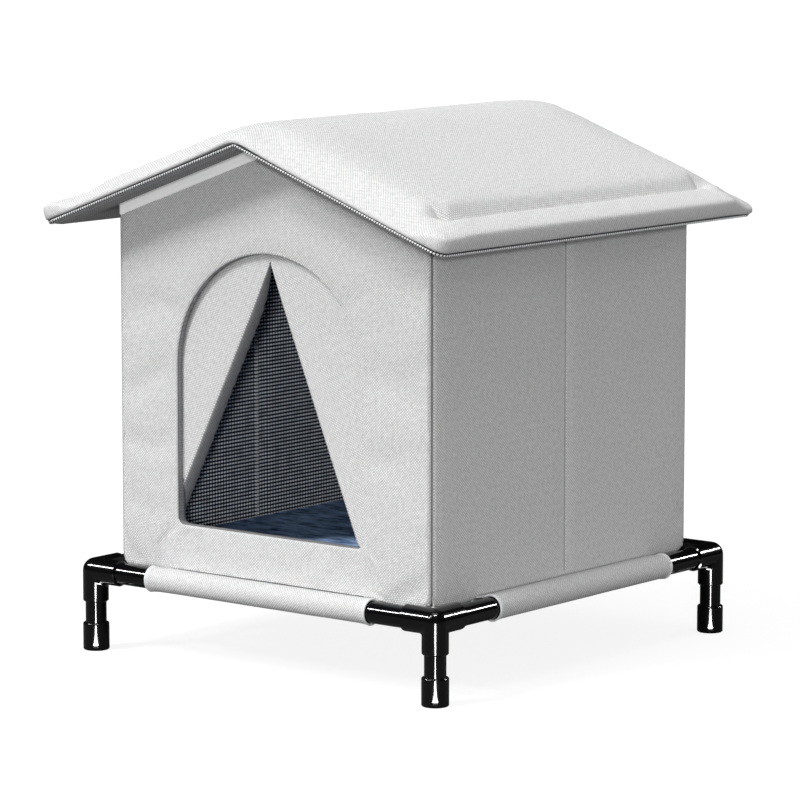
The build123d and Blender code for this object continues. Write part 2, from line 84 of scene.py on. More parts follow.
# Places of the house, read from the frame, in metres
HALF_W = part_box("right_cover")[1].x
FRONT_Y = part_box("front_cover")[0].y
REAR_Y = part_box("rear_cover")[1].y
MID_Y = (FRONT_Y + REAR_Y) / 2
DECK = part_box("front_cover")[0].z
SIDE_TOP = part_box("right_cover")[1].z - 6 * MM
RIDGE_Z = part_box("front_cover")[1].z
INNER_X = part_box("right_liner")[0].x
INNER_FRONT_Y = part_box("front_liner")[1].y
INNER_REAR_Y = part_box("rear_liner")[0].y
FLOOR_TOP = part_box("floor_liner")[1].z
LINER_T = INNER_FRONT_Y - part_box("front_liner")[0].y
DOOR_X = (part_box("curtain_panel_left")[0].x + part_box("curtain_panel_right")[1].x) / 2
CURTAIN_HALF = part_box("curtain_panel_right")[1].x - DOOR_X
CURTAIN_TOP_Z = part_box("curtain_panel_right")[1].z
PIPE_R = (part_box("rail_front")[1].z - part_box("rail_front")[0].z) / 2
PIPE_Z = (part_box("rail_front")[1].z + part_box("rail_front")[0].z) / 2
PIPE_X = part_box("rail_right")[1].x - PIPE_R
PIPE_FRONT_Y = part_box("rail_front")[0].y + PIPE_R
PIPE_REAR_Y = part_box("rail_rear")[1].y - PIPE_R
ROOF_SEAM_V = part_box("roof_piping_right")[1].y
PITCH = radians(20)
SLOPE = sin(PITCH) / cos(PITCH)
EAVE_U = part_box("roof_piping_right")[1].x / cos(PITCH) + 0.5 * MM

# Sizes that only the looks need
EDGE_R = 5 * MM  # rounding of a padded face at its seams
EDGE_TURN = radians(75)
SEAM_IN = EDGE_R * (1 - cos(EDGE_TURN))
EDGE_STEPS = tuple(EDGE_R * (sin(EDGE_TURN) - sin(EDGE_TURN * (1 - i / 8))) for i in range(9))
DOOR_HALF = CURTAIN_HALF - 8 * MM  # the curtains are hemmed behind the door's edge
DOOR_SILL_Z = DECK + 47 * MM
DOOR_SPRING_Z = CURTAIN_TOP_Z - CURTAIN_HALF
FOLD_APEX_Z = DECK + 317 * MM
FOLD_FOOT_Z = DOOR_SILL_Z + 2 * MM
FOLD_HALF = 107 * MM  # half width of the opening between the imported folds
CURTAIN_DEPTH = 8 * MM  # curtains behind the wall's face
CURTAIN_APEX_X = DOOR_X - 2.2 * MM
WALL_CORNER = 12 * MM  # rounding of the side and rear walls' corners
FRONT_CORNER = 9 * MM
SEAM_WIDTH = 5 * MM  # strip beside a seam that the padding doesn't lift
TAPE_WIDTH = 12 * MM
TAPE_HOLD = 14 * MM  # strip under the gable's top that its tape holds down
LEAST_AREA = 0.31  # smallest share of its flat box that a sheet's area is given as
PUFF_FRAMES = 20
BAR_DISTANCE = 4
RIB_PITCH = 4.4 * MM  # gathers along the curtains' folds
FOLD_CLOSE = 70 * MM  # length over which a fold closes below the apex


# Meshes
def cloth_mesh():
    """An empty mesh whose faces carry a UV map in metres of cloth."""
    bm = bmesh.new()
    bm.loops.layers.uv.new("cloth")
    return bm


def lay(bm, columns, rows, place, flat=None):
    """Lay a grid over the given columns and rows, with place() giving each vertex its point."""
    made = bmesh.ops.create_grid(
        bm, x_segments=len(columns) - 1, y_segments=len(rows) - 1, size=1
    )["verts"]
    layer = bm.loops.layers.uv["cloth"]
    spots = {}
    for index, vert in enumerate(made):
        row, column = divmod(index, len(columns))
        spots[vert] = (columns[column], rows[row])
        vert.co = place(*spots[vert])
    for face in {face for vert in made for face in vert.link_faces}:
        for loop in face.loops:
            spot = spots[loop.vert]
            loop[layer].uv = flat(*spot) if flat else spot
    return made


def running(gaps):
    """How far along a path each point lies, from the gaps between its points."""
    return list(accumulate(gaps, initial=0.0))


def tube(bm, path, radius, sides=8, closed=False):
    """A round strand along a list of points; radius is one number or one for each point."""
    radii = radius if hasattr(radius, "__len__") else [radius] * len(path)
    if closed:
        path, radii = path + path[:1], list(radii) + list(radii[:1])
    turned, frames = None, []
    for index, point in enumerate(path):
        ahead = path[min(index + 1, len(path) - 1)] - path[max(index - 1, 0)]
        ahead.normalize()
        if turned is None:
            turned = ahead.orthogonal().normalized()
        turned = (turned - ahead * turned.dot(ahead)).normalized()
        frames.append((point, turned.copy(), ahead.cross(turned)))
    lengths = running((after - before).length for before, after in zip(path, path[1:]))

    def place(turn, index):
        point, side, up = frames[index]
        angle = 2 * pi * turn / sides
        return point + (side * cos(angle) + up * sin(angle)) * radii[index]

    made = lay(
        bm,
        list(range(sides + 1)),
        list(range(len(path))),
        place,
        lambda turn, index: (turn * 2 * pi * radii[index] / sides, lengths[index]),
    )
    bmesh.ops.remove_doubles(bm, verts=made, dist=1e-6)


def stitches(bm, path, length, gap, width):
    """A row of small raised stitches along a path."""
    walked = running((after - before).length for before, after in zip(path, path[1:]))
    place, index = (length + gap) / 2, 0
    while place < walked[-1]:
        while walked[index + 1] < place:
            index += 1
        ahead = path[index + 1] - path[index]
        point = path[index] + ahead * ((place - walked[index]) / ahead.length)
        turn = ahead.to_track_quat("X", "Z").to_matrix().to_4x4()
        size = Matrix.Diagonal((length / 2, width / 2, width / 2, 1))
        bmesh.ops.create_icosphere(
            bm, subdivisions=1, radius=1, matrix=Matrix.Translation(point) @ turn @ size
        )
        place += length + gap


def piece_from(bm, name, material, replaced=(), body=None, turned=False):
    """Turn a finished mesh into a named piece; turned says that its faces look the right way."""
    if not turned:
        bmesh.ops.recalc_face_normals(bm, faces=bm.faces)
    mesh = bpy.data.meshes.new(name)
    bm.to_mesh(mesh)
    bm.free()
    mesh.materials.append(material)
    mesh.shade_smooth()
    piece = bpy.data.objects.new(name, mesh)
    bpy.context.scene.collection.objects.link(piece)
    if replaced:
        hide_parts(*replaced)
    if body:
        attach(piece, body)
    return piece


def thicken(piece, thickness, offset=-1):
    """Give a skin its thickness, behind the face that shows unless offset says else."""
    solid = piece.modifiers.new("Thickness", "SOLIDIFY")
    solid.thickness = thickness
    solid.offset = offset


def flipped_to(bm, faces, direction):
    """Turn a sheet's faces so that they look along a direction."""
    total = Vector()
    for face in faces:
        total += face.normal * face.calc_area()
    if total.dot(direction) < 0:
        bmesh.ops.reverse_faces(bm, faces=faces)


def puff(piece, pinned, pressure, cap):
    """Let the skin of a padded piece fill with air, then keep it where it came to rest."""
    rest = [vert.co.copy() for vert in piece.data.vertices]
    group = piece.vertex_groups.new(name="sewn")
    for vert in piece.data.vertices:
        group.add([vert.index], pinned(vert.co), "REPLACE")
    cloth = piece.modifiers.new("Puff", "CLOTH")
    settings = cloth.settings
    settings.vertex_group_mass = "sewn"
    settings.quality = 6
    settings.mass = 0.2
    settings.tension_stiffness = settings.compression_stiffness = 12
    settings.shear_stiffness = 8
    settings.bending_stiffness = 0.6
    settings.use_pressure = True
    settings.uniform_pressure_force = pressure
    settings.shrink_min = -0.012
    settings.effector_weights.gravity = 0
    cloth.collision_settings.use_collision = False
    cloth.point_cache.frame_start, cloth.point_cache.frame_end = 1, PUFF_FRAMES
    scene = bpy.context.scene
    for number in range(1, PUFF_FRAMES + 1):
        scene.frame_set(number)
    settled = piece.evaluated_get(bpy.context.evaluated_depsgraph_get())
    for vert, was, now in zip(piece.data.vertices, rest, settled.data.vertices):
        move = now.co - was
        if move.length > cap:
            move *= cap / move.length
        vert.co = was + move
    piece.modifiers.remove(cloth)
    piece.vertex_groups.remove(group)
    scene.frame_set(1)


def spread(low, high, step, start=EDGE_STEPS, end=EDGE_STEPS, extra=()):
    """Places from low to high: close together at the seams, even between them."""
    inner_low, inner_high = low + start[-1], high - end[-1]
    count = max(1, round((inner_high - inner_low) / step))
    middle = [inner_low + (inner_high - inner_low) * i / count for i in range(count + 1)]
    for place in extra:
        nearest = min(range(1, count), key=lambda i: abs(middle[i] - place))
        middle[nearest] = place
    return sorted(
        [low + e for e in start[:-1]] + middle + [high - e for e in end[:-1]]
    )


def mirrored(half):
    """The places of one half, and before them those of the other half."""
    return [-place for place in reversed(half[1:])] + half


def corner_turn(across, along):
    """Direction of a place past the corner of a flat, from the two distances past its edges."""
    angle = radians(45) * min(across, along) / max(across, along)
    return radians(90) - angle if along > across else angle


def edge_drop(distance):
    """How far a padded face falls back towards its seam, at a distance in from it."""
    across = EDGE_R * sin(EDGE_TURN) - distance
    return EDGE_R - sqrt(EDGE_R**2 - across**2) if across > 0 else 0.0


def rounded(p, q, radius):
    """Distances in from two edges moved so that their corner is round; also the depth in."""
    a, b = 1 - p / radius, 1 - q / radius
    if a <= 0 or b <= 0:
        return p, q, min(p, q)
    a, b = a * sqrt(1 - b * b / 2), b * sqrt(1 - a * a / 2)
    return radius * (1 - a), radius * (1 - b), radius * (1 - hypot(a, b))


def gable_top(x):
    """Height of the roof's underside at x."""
    return RIDGE_Z - abs(x) * SLOPE


def ease(value):
    """0 to 1, leaving 0 at a slant and reaching 1 level, as a stuffed edge does."""
    value = min(max(value, 0.0), 1.0)
    return 1 - (1 - value) ** 2


def smooth(value):
    """0 to 1, level at both ends."""
    value = min(max(value, 0.0), 1.0)
    return value * value * (3 - 2 * value)


# Materials
def node(tree, kind, settings=None, inputs=None):
    """Add a shader node; inputs are values or other nodes' sockets."""
    made = tree.nodes.new(kind)
    for name, value in (settings or {}).items():
        setattr(made, name, value)
    for socket, value in (inputs or {}).items():
        if isinstance(value, bpy.types.NodeSocket):
            tree.links.new(value, made.inputs[socket])
        else:
            made.inputs[socket].default_value = value
    return made


def sums(tree, operation, *values):
    """A math node on up to three values or sockets; gives its output."""
    return node(
        tree, "ShaderNodeMath", {"operation": operation}, dict(enumerate(values))
    ).outputs[0]


def blank(name, roughness, specular=0.5):
    """A new material, its tree and its principled shader."""
    material = bpy.data.materials.new(name)
    material.use_nodes = True
    shader = material.node_tree.nodes["Principled BSDF"]
    shader.inputs["Roughness"].default_value = roughness
    shader.inputs["Specular IOR Level"].default_value = specular
    return material, material.node_tree, shader


def cloth_axes(tree):
    """The two directions of the cloth, in metres."""
    uv = node(tree, "ShaderNodeUVMap", {"uv_map": "cloth"})
    split = node(tree, "ShaderNodeSeparateXYZ", None, {0: uv.outputs[0]})
    return uv.outputs[0], split.outputs[0], split.outputs[1]


def painted(tree, shader, factor, low, high):
    """Colour a material between two colours, by a factor socket."""
    mix = node(
        tree,
        "ShaderNodeMix",
        {"data_type": "RGBA"},
        {0: factor, 6: (*low, 1), 7: (*high, 1)},
    )
    tree.links.new(mix.outputs[2], shader.inputs["Base Color"])


def raised(tree, shader, strength, distance, height):
    """Raise a material's surface by a height socket."""
    inputs = {"Strength": strength, "Distance": distance, "Height": height}
    bump = node(tree, "ShaderNodeBump", None, inputs)
    tree.links.new(bump.outputs[0], shader.inputs["Normal"])


def woven(name, low, high, cell, relief):
    """Plain-woven cloth: round threads over and under each other."""
    material, tree, shader = blank(name, 0.85, 0.15)
    uv, across, along = cloth_axes(tree)
    threads = [
        sums(tree, "ABSOLUTE", sums(tree, "SINE", sums(tree, "MULTIPLY", axis, pi / cell)))
        for axis in (across, along)
    ]
    lifted = node(tree, "ShaderNodeVectorMath", {"operation": "ADD"}, {0: uv, 1: (0, 0, cell / 2)})
    checks = node(
        tree, "ShaderNodeTexChecker", None, {"Vector": lifted.outputs[0], "Scale": 1 / cell}
    ).outputs["Fac"]
    height = node(
        tree, "ShaderNodeMix", {"data_type": "FLOAT"}, {0: checks, 2: threads[0], 3: threads[1]}
    ).outputs[0]
    fleck = node(
        tree, "ShaderNodeTexNoise", None, {"Vector": uv, "Scale": 0.35 / cell, "Detail": 2.0}
    ).outputs["Fac"]
    # Painted shade: the tone is darker where the threads dip and on every other crossing; the noise
    # adds random flecks of tone.
    tone = sums(
        tree,
        "ADD",
        sums(tree, "MULTIPLY", height, 0.45),
        sums(tree, "MULTIPLY_ADD", checks, 0.35, sums(tree, "MULTIPLY", fleck, 0.4)),
    )
    painted(tree, shader, tone, low, high)
    raised(tree, shader, 0.6, relief, height)
    return material


def dotted(name, ground, dot, pitch_across, pitch_along, size):
    """Dark backing cloth with rows of small light stitches."""
    material, tree, shader = blank(name, 0.8, 0.2)
    uv, across, along = cloth_axes(tree)
    waves = [
        sums(tree, "COSINE", sums(tree, "MULTIPLY", axis, 2 * pi / pitch))
        for axis, pitch in ((across, pitch_across), (along, pitch_along))
    ]
    peak = sums(tree, "MULTIPLY_ADD", waves[0], 0.85, sums(tree, "MULTIPLY", waves[1], 1.15))
    spots = node(
        tree,
        "ShaderNodeMapRange",
        {"interpolation_type": "SMOOTHSTEP"},
        {"Value": peak, "From Min": 2 - size, "From Max": 2 - size * 0.5},
    ).outputs[0]
    fade = node(tree, "ShaderNodeTexNoise", None, {"Vector": uv, "Scale": 90.0, "Detail": 1.0})
    fade = sums(tree, "MULTIPLY_ADD", fade.outputs["Fac"], 1.2, 0.35)
    spots = sums(tree, "MULTIPLY", spots, fade)
    painted(tree, shader, spots, ground, dot)
    raised(tree, shader, 0.5, 0.4 * MM, spots)
    return material


def plush(name, low, high):
    """Short pile brushed sideways."""
    material, tree, shader = blank(name, 0.95, 0.1)
    place = node(tree, "ShaderNodeTexCoord").outputs["Object"]
    streaks = node(tree, "ShaderNodeMapping", None, {"Vector": place, "Scale": (38, 95, 95)})
    pile = node(
        tree,
        "ShaderNodeTexNoise",
        None,
        {"Vector": streaks.outputs[0], "Scale": 1.0, "Detail": 5.0, "Roughness": 0.65},
    ).outputs["Fac"]
    tone = node(
        tree, "ShaderNodeMapRange", None, {"Value": pile, "From Min": 0.32, "From Max": 0.68}
    ).outputs[0]
    painted(tree, shader, tone, low, high)
    raised(tree, shader, 0.9, 1.5 * MM, pile)
    return material


def moulded(name, colour, roughness, specular, grain):
    """Plastic with the faint unevenness of a moulding."""
    material, tree, shader = blank(name, roughness, specular)
    place = node(tree, "ShaderNodeTexCoord").outputs["Object"]
    speckle = node(
        tree, "ShaderNodeTexNoise", None, {"Vector": place, "Scale": 90.0, "Detail": 3.0}
    ).outputs["Fac"]
    shade = node(
        tree,
        "ShaderNodeMapRange",
        None,
        {"Value": speckle, "To Min": roughness * 0.8, "To Max": roughness * 1.3},
    )
    tree.links.new(shade.outputs[0], shader.inputs["Roughness"])
    raised(tree, shader, 0.15, grain, speckle)
    shader.inputs["Base Color"].default_value = (*colour, 1)
    return material


def ribbed(name, low, high, pitch, relief, painted_glow=0.0):
    """Tape and thread with fine ribs, painted darker in the dips between ribs as shade; its emission
    is a painted glow that keeps the white tape light in the shade.
    """
    material, tree, shader = blank(name, 0.7, 0.25)
    uv, across, along = cloth_axes(tree)
    slant = sums(tree, "ADD", across, along)
    ribs = sums(tree, "ABSOLUTE", sums(tree, "SINE", sums(tree, "MULTIPLY", slant, pi / pitch)))
    painted(tree, shader, ribs, low, high)
    raised(tree, shader, 0.5, relief, ribs)
    shader.inputs["Emission Color"].default_value = (1, 1, 1, 1)
    shader.inputs["Emission Strength"].default_value = painted_glow
    return material


def beaded(name, gap, bead, pitch):
    """Twisted cord, with painted shade between its turns."""
    material, tree, shader = blank(name, 0.5, 0.4)
    across, along = cloth_axes(tree)[1:]
    turn = sums(tree, "MULTIPLY_ADD", across, 0.35, along)
    wave = sums(tree, "ABSOLUTE", sums(tree, "COSINE", sums(tree, "MULTIPLY", turn, pi / pitch)))
    tone = node(
        tree, "ShaderNodeMapRange", None, {"Value": wave, "From Min": 0.3, "From Max": 0.7}
    ).outputs[0]
    painted(tree, shader, tone, gap, bead)
    return material


def foam(name, low, high):
    """Closed-cell foam board."""
    material, tree, shader = blank(name, 0.75, 0.3)
    place = node(tree, "ShaderNodeTexCoord").outputs["Object"]
    cells = node(tree, "ShaderNodeTexVoronoi", None, {"Vector": place, "Scale": 650.0})
    painted(tree, shader, cells.outputs["Distance"], low, high)
    return material


# Each finish: how it is made and its values; a word names a colour among the settings
FINISHES = {
    "outer cloth": (woven, (0.22, 0.22, 0.225), "cloth", 1.5 * MM, 0.6 * MM),
    # Painted shade: a darker copy of the outer cloth for the door's reveal and the curtains' folds,
    # which turn away from the light.
    "shaded cloth": (woven, (0.10, 0.10, 0.105), (0.44, 0.44, 0.45), 1.5 * MM, 0.6 * MM),
    "lining cloth": (woven, (0.07, 0.07, 0.073), (0.42, 0.42, 0.43), 1.5 * MM, 0.5 * MM),
    "backing cloth": (woven, (0.30, 0.31, 0.33), (0.62, 0.63, 0.66), 1.2 * MM, 0.3 * MM),
    "dark liner": (dotted, (0.016, 0.020, 0.038), "dots", 4.4 * MM, 3.8 * MM, 2.1),
    # Painted light: the white tape's last value is an emission that keeps it light in the roof's
    # shade.
    "white tape": (ribbed, (0.80, 0.81, 0.82), (1.0, 1.0, 1.0), 0.9 * MM, 0.2 * MM, 0.2),
    "white thread": (ribbed, (0.70, 0.71, 0.73), (0.92, 0.93, 0.94), 0.6 * MM, 0.1 * MM),
    # Painted shadow: near black, for the cord along the seam above the roof's piping.
    "dark thread": (ribbed, (0.015, 0.015, 0.017), (0.05, 0.05, 0.055), 0.9 * MM, 0.1 * MM),
    # Painted shade: a dark grey for the corner seam's groove and for the line at the door's rounded
    # edge.
    "grey thread": (ribbed, (0.09, 0.09, 0.095), (0.22, 0.22, 0.23), 0.9 * MM, 0.1 * MM),
    # Painted shade: a pale grey for the creases and the other corner seams.
    "pale thread": (ribbed, (0.26, 0.26, 0.27), (0.46, 0.46, 0.47), 0.9 * MM, 0.1 * MM),
    "edge cord": (beaded, (0.02, 0.02, 0.02), (0.95, 0.96, 0.97)),
    "mat plush": (plush, (0.024, 0.06, 0.20), "mat"),
    "fitting plastic": (moulded, "fitting", 0.12, 0.3, 0.08 * MM),
    "pipe coat": (moulded, "pipe", 0.10, 0.3, 0.04 * MM),
    "board foam": (foam, (0.62, 0.62, 0.61), (0.80, 0.80, 0.79)),
}


def finish(name, *more):
    """The finish of this name, made the first time it is asked for."""
    if name in bpy.data.materials:
        return bpy.data.materials[name]
    look = bpy.context.scene.cat_house_finish
    make, *values = FINISHES[name]
    values = [getattr(look, value) if isinstance(value, str) else value for value in values]
    return make(name, *values, *more)


# Door and front wall
def corner_arc(gone, radius):
    """Along and across offsets of a point that is gone along an edge from a round corner."""
    if gone >= radius:
        return gone, 0.0
    angle = radians(45) * (1 - gone / radius)
    return radius * (1 - sin(angle)), radius * (1 - cos(angle))


def foot_points(half, foot, corner, stations):
    """Points along a level edge between two round corners, from the left."""
    points = []
    for t in stations:
        along, across = corner_arc(min(t, 1 - t) * 2 * half, corner)
        points.append((-half + along if t < 0.5 else half - along, foot + across))
    return points


def door_ring(half, sill, stations):
    """Points round the arched door, from the sill's left end anticlockwise from the front."""
    corner = 8 * MM
    points = [(DOOR_X + x, z) for x, z in foot_points(half, sill, corner, stations["sill"])]
    height = DOOR_SPRING_Z - sill
    for side, turned in ((1, False), (-1, True)):
        jamb = []
        for t in stations["jamb"]:
            along, across = corner_arc(t * height, corner)
            jamb.append((DOOR_X + side * (half - across), sill + along))
        arch = [
            (DOOR_X + side * half * cos(t * pi / 2), DOOR_SPRING_Z + half * sin(t * pi / 2))
            for t in stations["arch"]
        ]
        half_ring = jamb[1:] + arch[1:]
        if turned:
            half_ring = list(reversed(half_ring))[1:]
        points.extend(half_ring)
    return points


def wall_ring(half, foot, corner, stations):
    """Points round the gabled wall that answer those of door_ring."""
    points = foot_points(half, foot, corner, stations["sill"])
    top = gable_top(half)
    for side, turned in ((1, False), (-1, True)):
        jamb = []
        for t in stations["jamb"]:
            along, across = corner_arc(t * (top - foot), corner)
            jamb.append((side * (half - across), foot + along))
        slope = [(side * half * (1 - t), gable_top(half * (1 - t))) for t in stations["arch"]]
        half_ring = jamb[1:] + slope[1:]
        if turned:
            half_ring = list(reversed(half_ring))[1:]
        points.extend(half_ring)
    return points


def even(count, dense=()):
    """Even stations from 0 to 1, with more of them near the ends given."""
    places = {i / count for i in range(count + 1)}
    near = (0.006, 0.014, 0.024)
    if "start" in dense:
        places.update(near)
    if "end" in dense:
        places.update(1 - e for e in near)
    return sorted(places)


DOOR_STATIONS = {
    "sill": even(44, ("start", "end")),
    "jamb": even(30, ("start",)),
    "arch": even(34),
}


def unrolled(point):
    """Place of a front wall point in its flat cloth; depth counts as length."""
    return point.x + point.y, point.z + point.y


def loft_rings(bm, rings):
    """A skin through rings that have the same number of points, closed all round."""
    count = len(rings[0])
    made = lay(
        bm,
        list(range(count + 1)),
        list(range(len(rings))),
        lambda turn, ring: rings[ring][turn % count],
        lambda turn, ring: unrolled(rings[ring][turn % count]),
    )
    bmesh.ops.remove_doubles(bm, verts=made, dist=1e-6)


# Roof
MID_ROOF_Y = (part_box("roof_pad_right")[0].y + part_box("roof_pad_right")[1].y) / 2
ROOF_INSET = 10 * MM  # flat of the cover ends this far in from its seam
ROOF_HALF = ROOF_SEAM_V - MID_ROOF_Y
RIDGE_ROUND = 8 * MM
RIDGE_SPREAD = 30 * MM  # distance from the ridge over which its rounding fades
PAD_TOP = 25.5 * MM
RAKE_EDGE = 11 * MM
RIDGE_CROWN = 60 * MM  # distance from the ridge over which the pad rises
RAKE_CROWN = 75 * MM
PANEL_SIDE = 21 * MM  # distance over which the panel falls to the sewn channel
BRIM_SIDE, BRIM_CORNER = 7.5, 32  # millimetres, beside the channel and where it has turned
CHANNEL_DEEP = 9.5 * MM  # what stands under the bottom of the sewn channel
CHANNEL_U = EAVE_U - 35 * MM
CHANNEL_V = ROOF_HALF - 45 * MM
CHANNEL_TURN = 15 * MM
# Millimetres out and up of the padded edge, one for each millimetre of cloth past the flat
ROOF_EDGE = (
    (0.0, 20.2), (4.2, 20.1), (8.0, 19.8), (10.6, 19.1), (12.2, 17.8), (13.0, 15.8), (13.4, 13.0),
    (13.6, 10.0), (13.6, 7.0), (13.3, 4.4), (12.6, 2.5), (11.0, 1.3), (8.0, 1.0),
)
# Share of the edge's height at the same places along the rakes
ROOF_TAPER = (1.0, 0.85, 0.7, 0.59, 0.5, 0.42, 0.34, 0.27, 0.21, 0.15, 0.1, 0.07, 0.05)
ROOF_EDGE_RUN = running(dist(*pair) * MM for pair in zip(ROOF_EDGE, ROOF_EDGE[1:]))


def roof_point(side, u, v, n):
    """A point of the roof: u down the slope, v along the ridge, n off the underside."""
    x = u * cos(PITCH) + n * sin(PITCH) * min(1.0, max(0.0, u) / RIDGE_SPREAD)
    folded = sqrt(x * x + RIDGE_ROUND**2) - RIDGE_ROUND
    folded += RIDGE_ROUND * (1 - 1 / (1 + (x / RIDGE_SPREAD) ** 2))
    return Vector((side * x, MID_ROOF_Y + v, RIDGE_Z - folded * SLOPE + n / cos(PITCH)))


def rake_share(u, v):
    """1 along the rakes, where the padding tapers to the seam, and 0 along the eaves."""
    inward = smooth((abs(v) - ROOF_HALF + 45 * MM) / (36 * MM))
    corner = smooth((u - EAVE_U + 42 * MM) / (32 * MM))
    return inward * (1 - corner * (0.15 if v > 0 else 0.85))


def roof_edge_t(u, v=0.0):
    """Thickness of the roof's padded edge; it is thinner along the rakes."""
    eave = 14.6 * MM + 5.6 * MM * min(1.0, u / EAVE_U)
    return eave + (RAKE_EDGE - eave) * rake_share(u, v)


def channel_distance(u, v):
    """Distance from the sewn channel, above 0 on the panel's side."""
    p = u - (CHANNEL_U - CHANNEL_TURN)
    q = abs(v) - (CHANNEL_V - CHANNEL_TURN)
    if p > 0 and q > 0:
        return CHANNEL_TURN - hypot(p, q)
    return CHANNEL_TURN - max(p, q)


def channel_strength(u):
    """The channel fades out up the slope."""
    return smooth((u - (CHANNEL_U - 24 * MM)) / (20 * MM))


def roof_height(u, v):
    """Height of the pad's top over the roof's underside."""
    edge = roof_edge_t(u, v)
    crown = (
        ease(u / RIDGE_CROWN)
        * ease((ROOF_HALF - ROOF_INSET - abs(v)) / RAKE_CROWN)
        * (1 - smooth((u - CHANNEL_U + 4 * MM) / (14 * MM)))
    )
    height = edge + (PAD_TOP - edge) * crown
    off = channel_distance(u, v)
    p, q = u - (CHANNEL_U - CHANNEL_TURN), abs(v) - (CHANNEL_V - CHANNEL_TURN)
    round_it = atan2(max(0.0, q), max(1e-9, p)) / radians(90)
    brim = (BRIM_SIDE + BRIM_CORNER * smooth(round_it)) * MM
    lift = ease(off / PANEL_SIDE) if off > 0 else ease(-off / brim)
    dip = (1 - lift) * channel_strength(u)
    return height - (height - CHANNEL_DEEP) * dip


def roof_place(column, row):
    """column and row run over the flat of the slopes and, past it, round the padded edge."""
    side = -1 if row < 0 else 1
    inner_u, inner_v = EAVE_U - ROOF_INSET, ROOF_HALF - ROOF_INSET
    over_u = max(0.0, abs(row) - inner_u)
    over_v = max(0.0, abs(column) - inner_v)
    u = min(abs(row), inner_u)
    v = max(-inner_v, min(inner_v, column))
    steps = max(over_u, over_v) / MM
    if steps == 0:
        return roof_point(side, u, v, roof_height(u, v))
    index = min(int(round(steps)), len(ROOF_EDGE) - 1)
    out, high = ROOF_EDGE[index]
    angle = corner_turn(over_u, over_v)
    u_out = u + out * MM * cos(angle) if over_u else u
    v_out = out * MM * sin(angle) if over_v else 0.0
    v = v + (v_out if column > 0 else -v_out)
    edge = roof_edge_t(u, v)
    start = roof_height(u, max(-inner_v, min(inner_v, column)))
    rake = rake_share(u, column)
    share = high / ROOF_EDGE[0][1] * (1 - rake) + ROOF_TAPER[index] * rake
    n = share * (edge + (start - edge) * share**3)
    if out == 0:
        n = start
    return roof_point(side, u_out, v, n)


def roof_flat(column, row):
    """Place in the flat cloth, with the padded edge unrolled."""
    unrolled_place = []
    for place, inner in ((column, ROOF_HALF - ROOF_INSET), (row, EAVE_U - ROOF_INSET)):
        steps = int(round(max(0.0, abs(place) - inner) / MM))
        length = inner + ROOF_EDGE_RUN[steps] if steps else abs(place)
        unrolled_place.append(length if place > 0 else -length)
    return unrolled_place


def roof_lines(inner, step, extra=()):
    """Columns or rows over one half of the roof: even, close at the channel, then the edge."""
    count = round(inner / step)
    places = {round(inner * i / count, 7) for i in range(count + 1)}
    for place in extra:
        places = {p for p in places if abs(p - place) > 2.2 * MM or p in (0, inner)}
        places.update(place + d * MM for d in (-2.5, -1, 0, 1, 2.5))
    places = sorted(p for p in places if 0 <= p <= inner + 1e-9)
    return places + [inner + (i + 1) * MM for i in range(len(ROOF_EDGE) - 1)]


# Camera and lamps
def facing(azimuth, elevation):
    """Where the eye is on a unit ball round the house, for angles in radians."""
    return Vector((sin(azimuth) * cos(elevation), -cos(azimuth) * cos(elevation), sin(elevation)))


def placed(name, data, back):
    """A camera or lamp in the scene that looks from back towards the middle."""
    held = bpy.data.objects.new(name, data)
    held.rotation_mode = "QUATERNION"
    held.rotation_quaternion = (-back).to_track_quat("-Z", "Y")
    bpy.context.scene.collection.objects.link(held)
    return held


# Operators
class CatHouseCamera(bpy.types.Operator):
    """Set the camera where the photograph was taken."""

    bl_idname = "cat_house.camera"
    bl_label = "Camera"

    def execute(self, context):
        look = context.scene.cat_house_stage
        lens = bpy.data.cameras.new("photo camera")
        lens.lens = look.focal_length
        lens.sensor_width = 36
        lens.clip_start, lens.clip_end = 0.1, 200
        camera = placed("photo camera", lens, facing(look.azimuth, look.elevation))
        camera.location = look.camera_place
        context.scene.camera = camera
        return {"FINISHED"}


def sun(name, azimuth, elevation, strength, angle):
    """A far lamp that stands at an azimuth and elevation."""
    lamp = bpy.data.lights.new(name, "SUN")
    lamp.energy = strength
    lamp.angle = radians(angle)
    return placed(name, lamp, facing(radians(azimuth), radians(elevation)))


def shine_lamp(name, back, size, power):
    """A rectangular lamp that only shows in glossy reflections."""
    lamp = bpy.data.lights.new(name, "AREA")
    lamp.shape = "RECTANGLE"
    lamp.size, lamp.size_y = size
    lamp.energy = power
    held = placed(name, lamp, back)
    held.visible_diffuse = False
    held.visible_camera = False
    return held


def shine_bar(name, azimuth, elevation, size, power):
    """A level bar at an azimuth and elevation, for the thin lights along the rails."""
    back = facing(radians(azimuth), radians(elevation))
    shine_lamp(name, back, size, power).location = back * BAR_DISTANCE


def floor_shine(corner, azimuth, power):
    """Strips on the floor in front of a leg, for the thin light down its middle alone."""
    low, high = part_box(f"leg_{corner}")
    out, below = Vector((sin(azimuth), -cos(azimuth), 0)), Vector((0, 0, -1))
    lit = bpy.data.collections.new(f"{corner} shine")
    for name in ("corner_fitting", "leg", "foot"):
        lit.objects.link(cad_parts[f"{name}_{corner}"])
    for start, end, width in ((0.03, 0.3, 0.022), (0.3, 0.9, 0.07)):
        length = end - start
        size = (width, length)
        held = shine_lamp(f"{corner} shine", below, size, power * width * length)
        held.location = Vector(((low.x + high.x) / 2, (low.y + high.y) / 2, 0.002))
        held.location += out * (start + end) / 2
        held.rotation_quaternion = Quaternion((0, 0, 1), azimuth) @ Quaternion((1, 0, 0), pi)
        held.light_linking.receiver_collection = lit


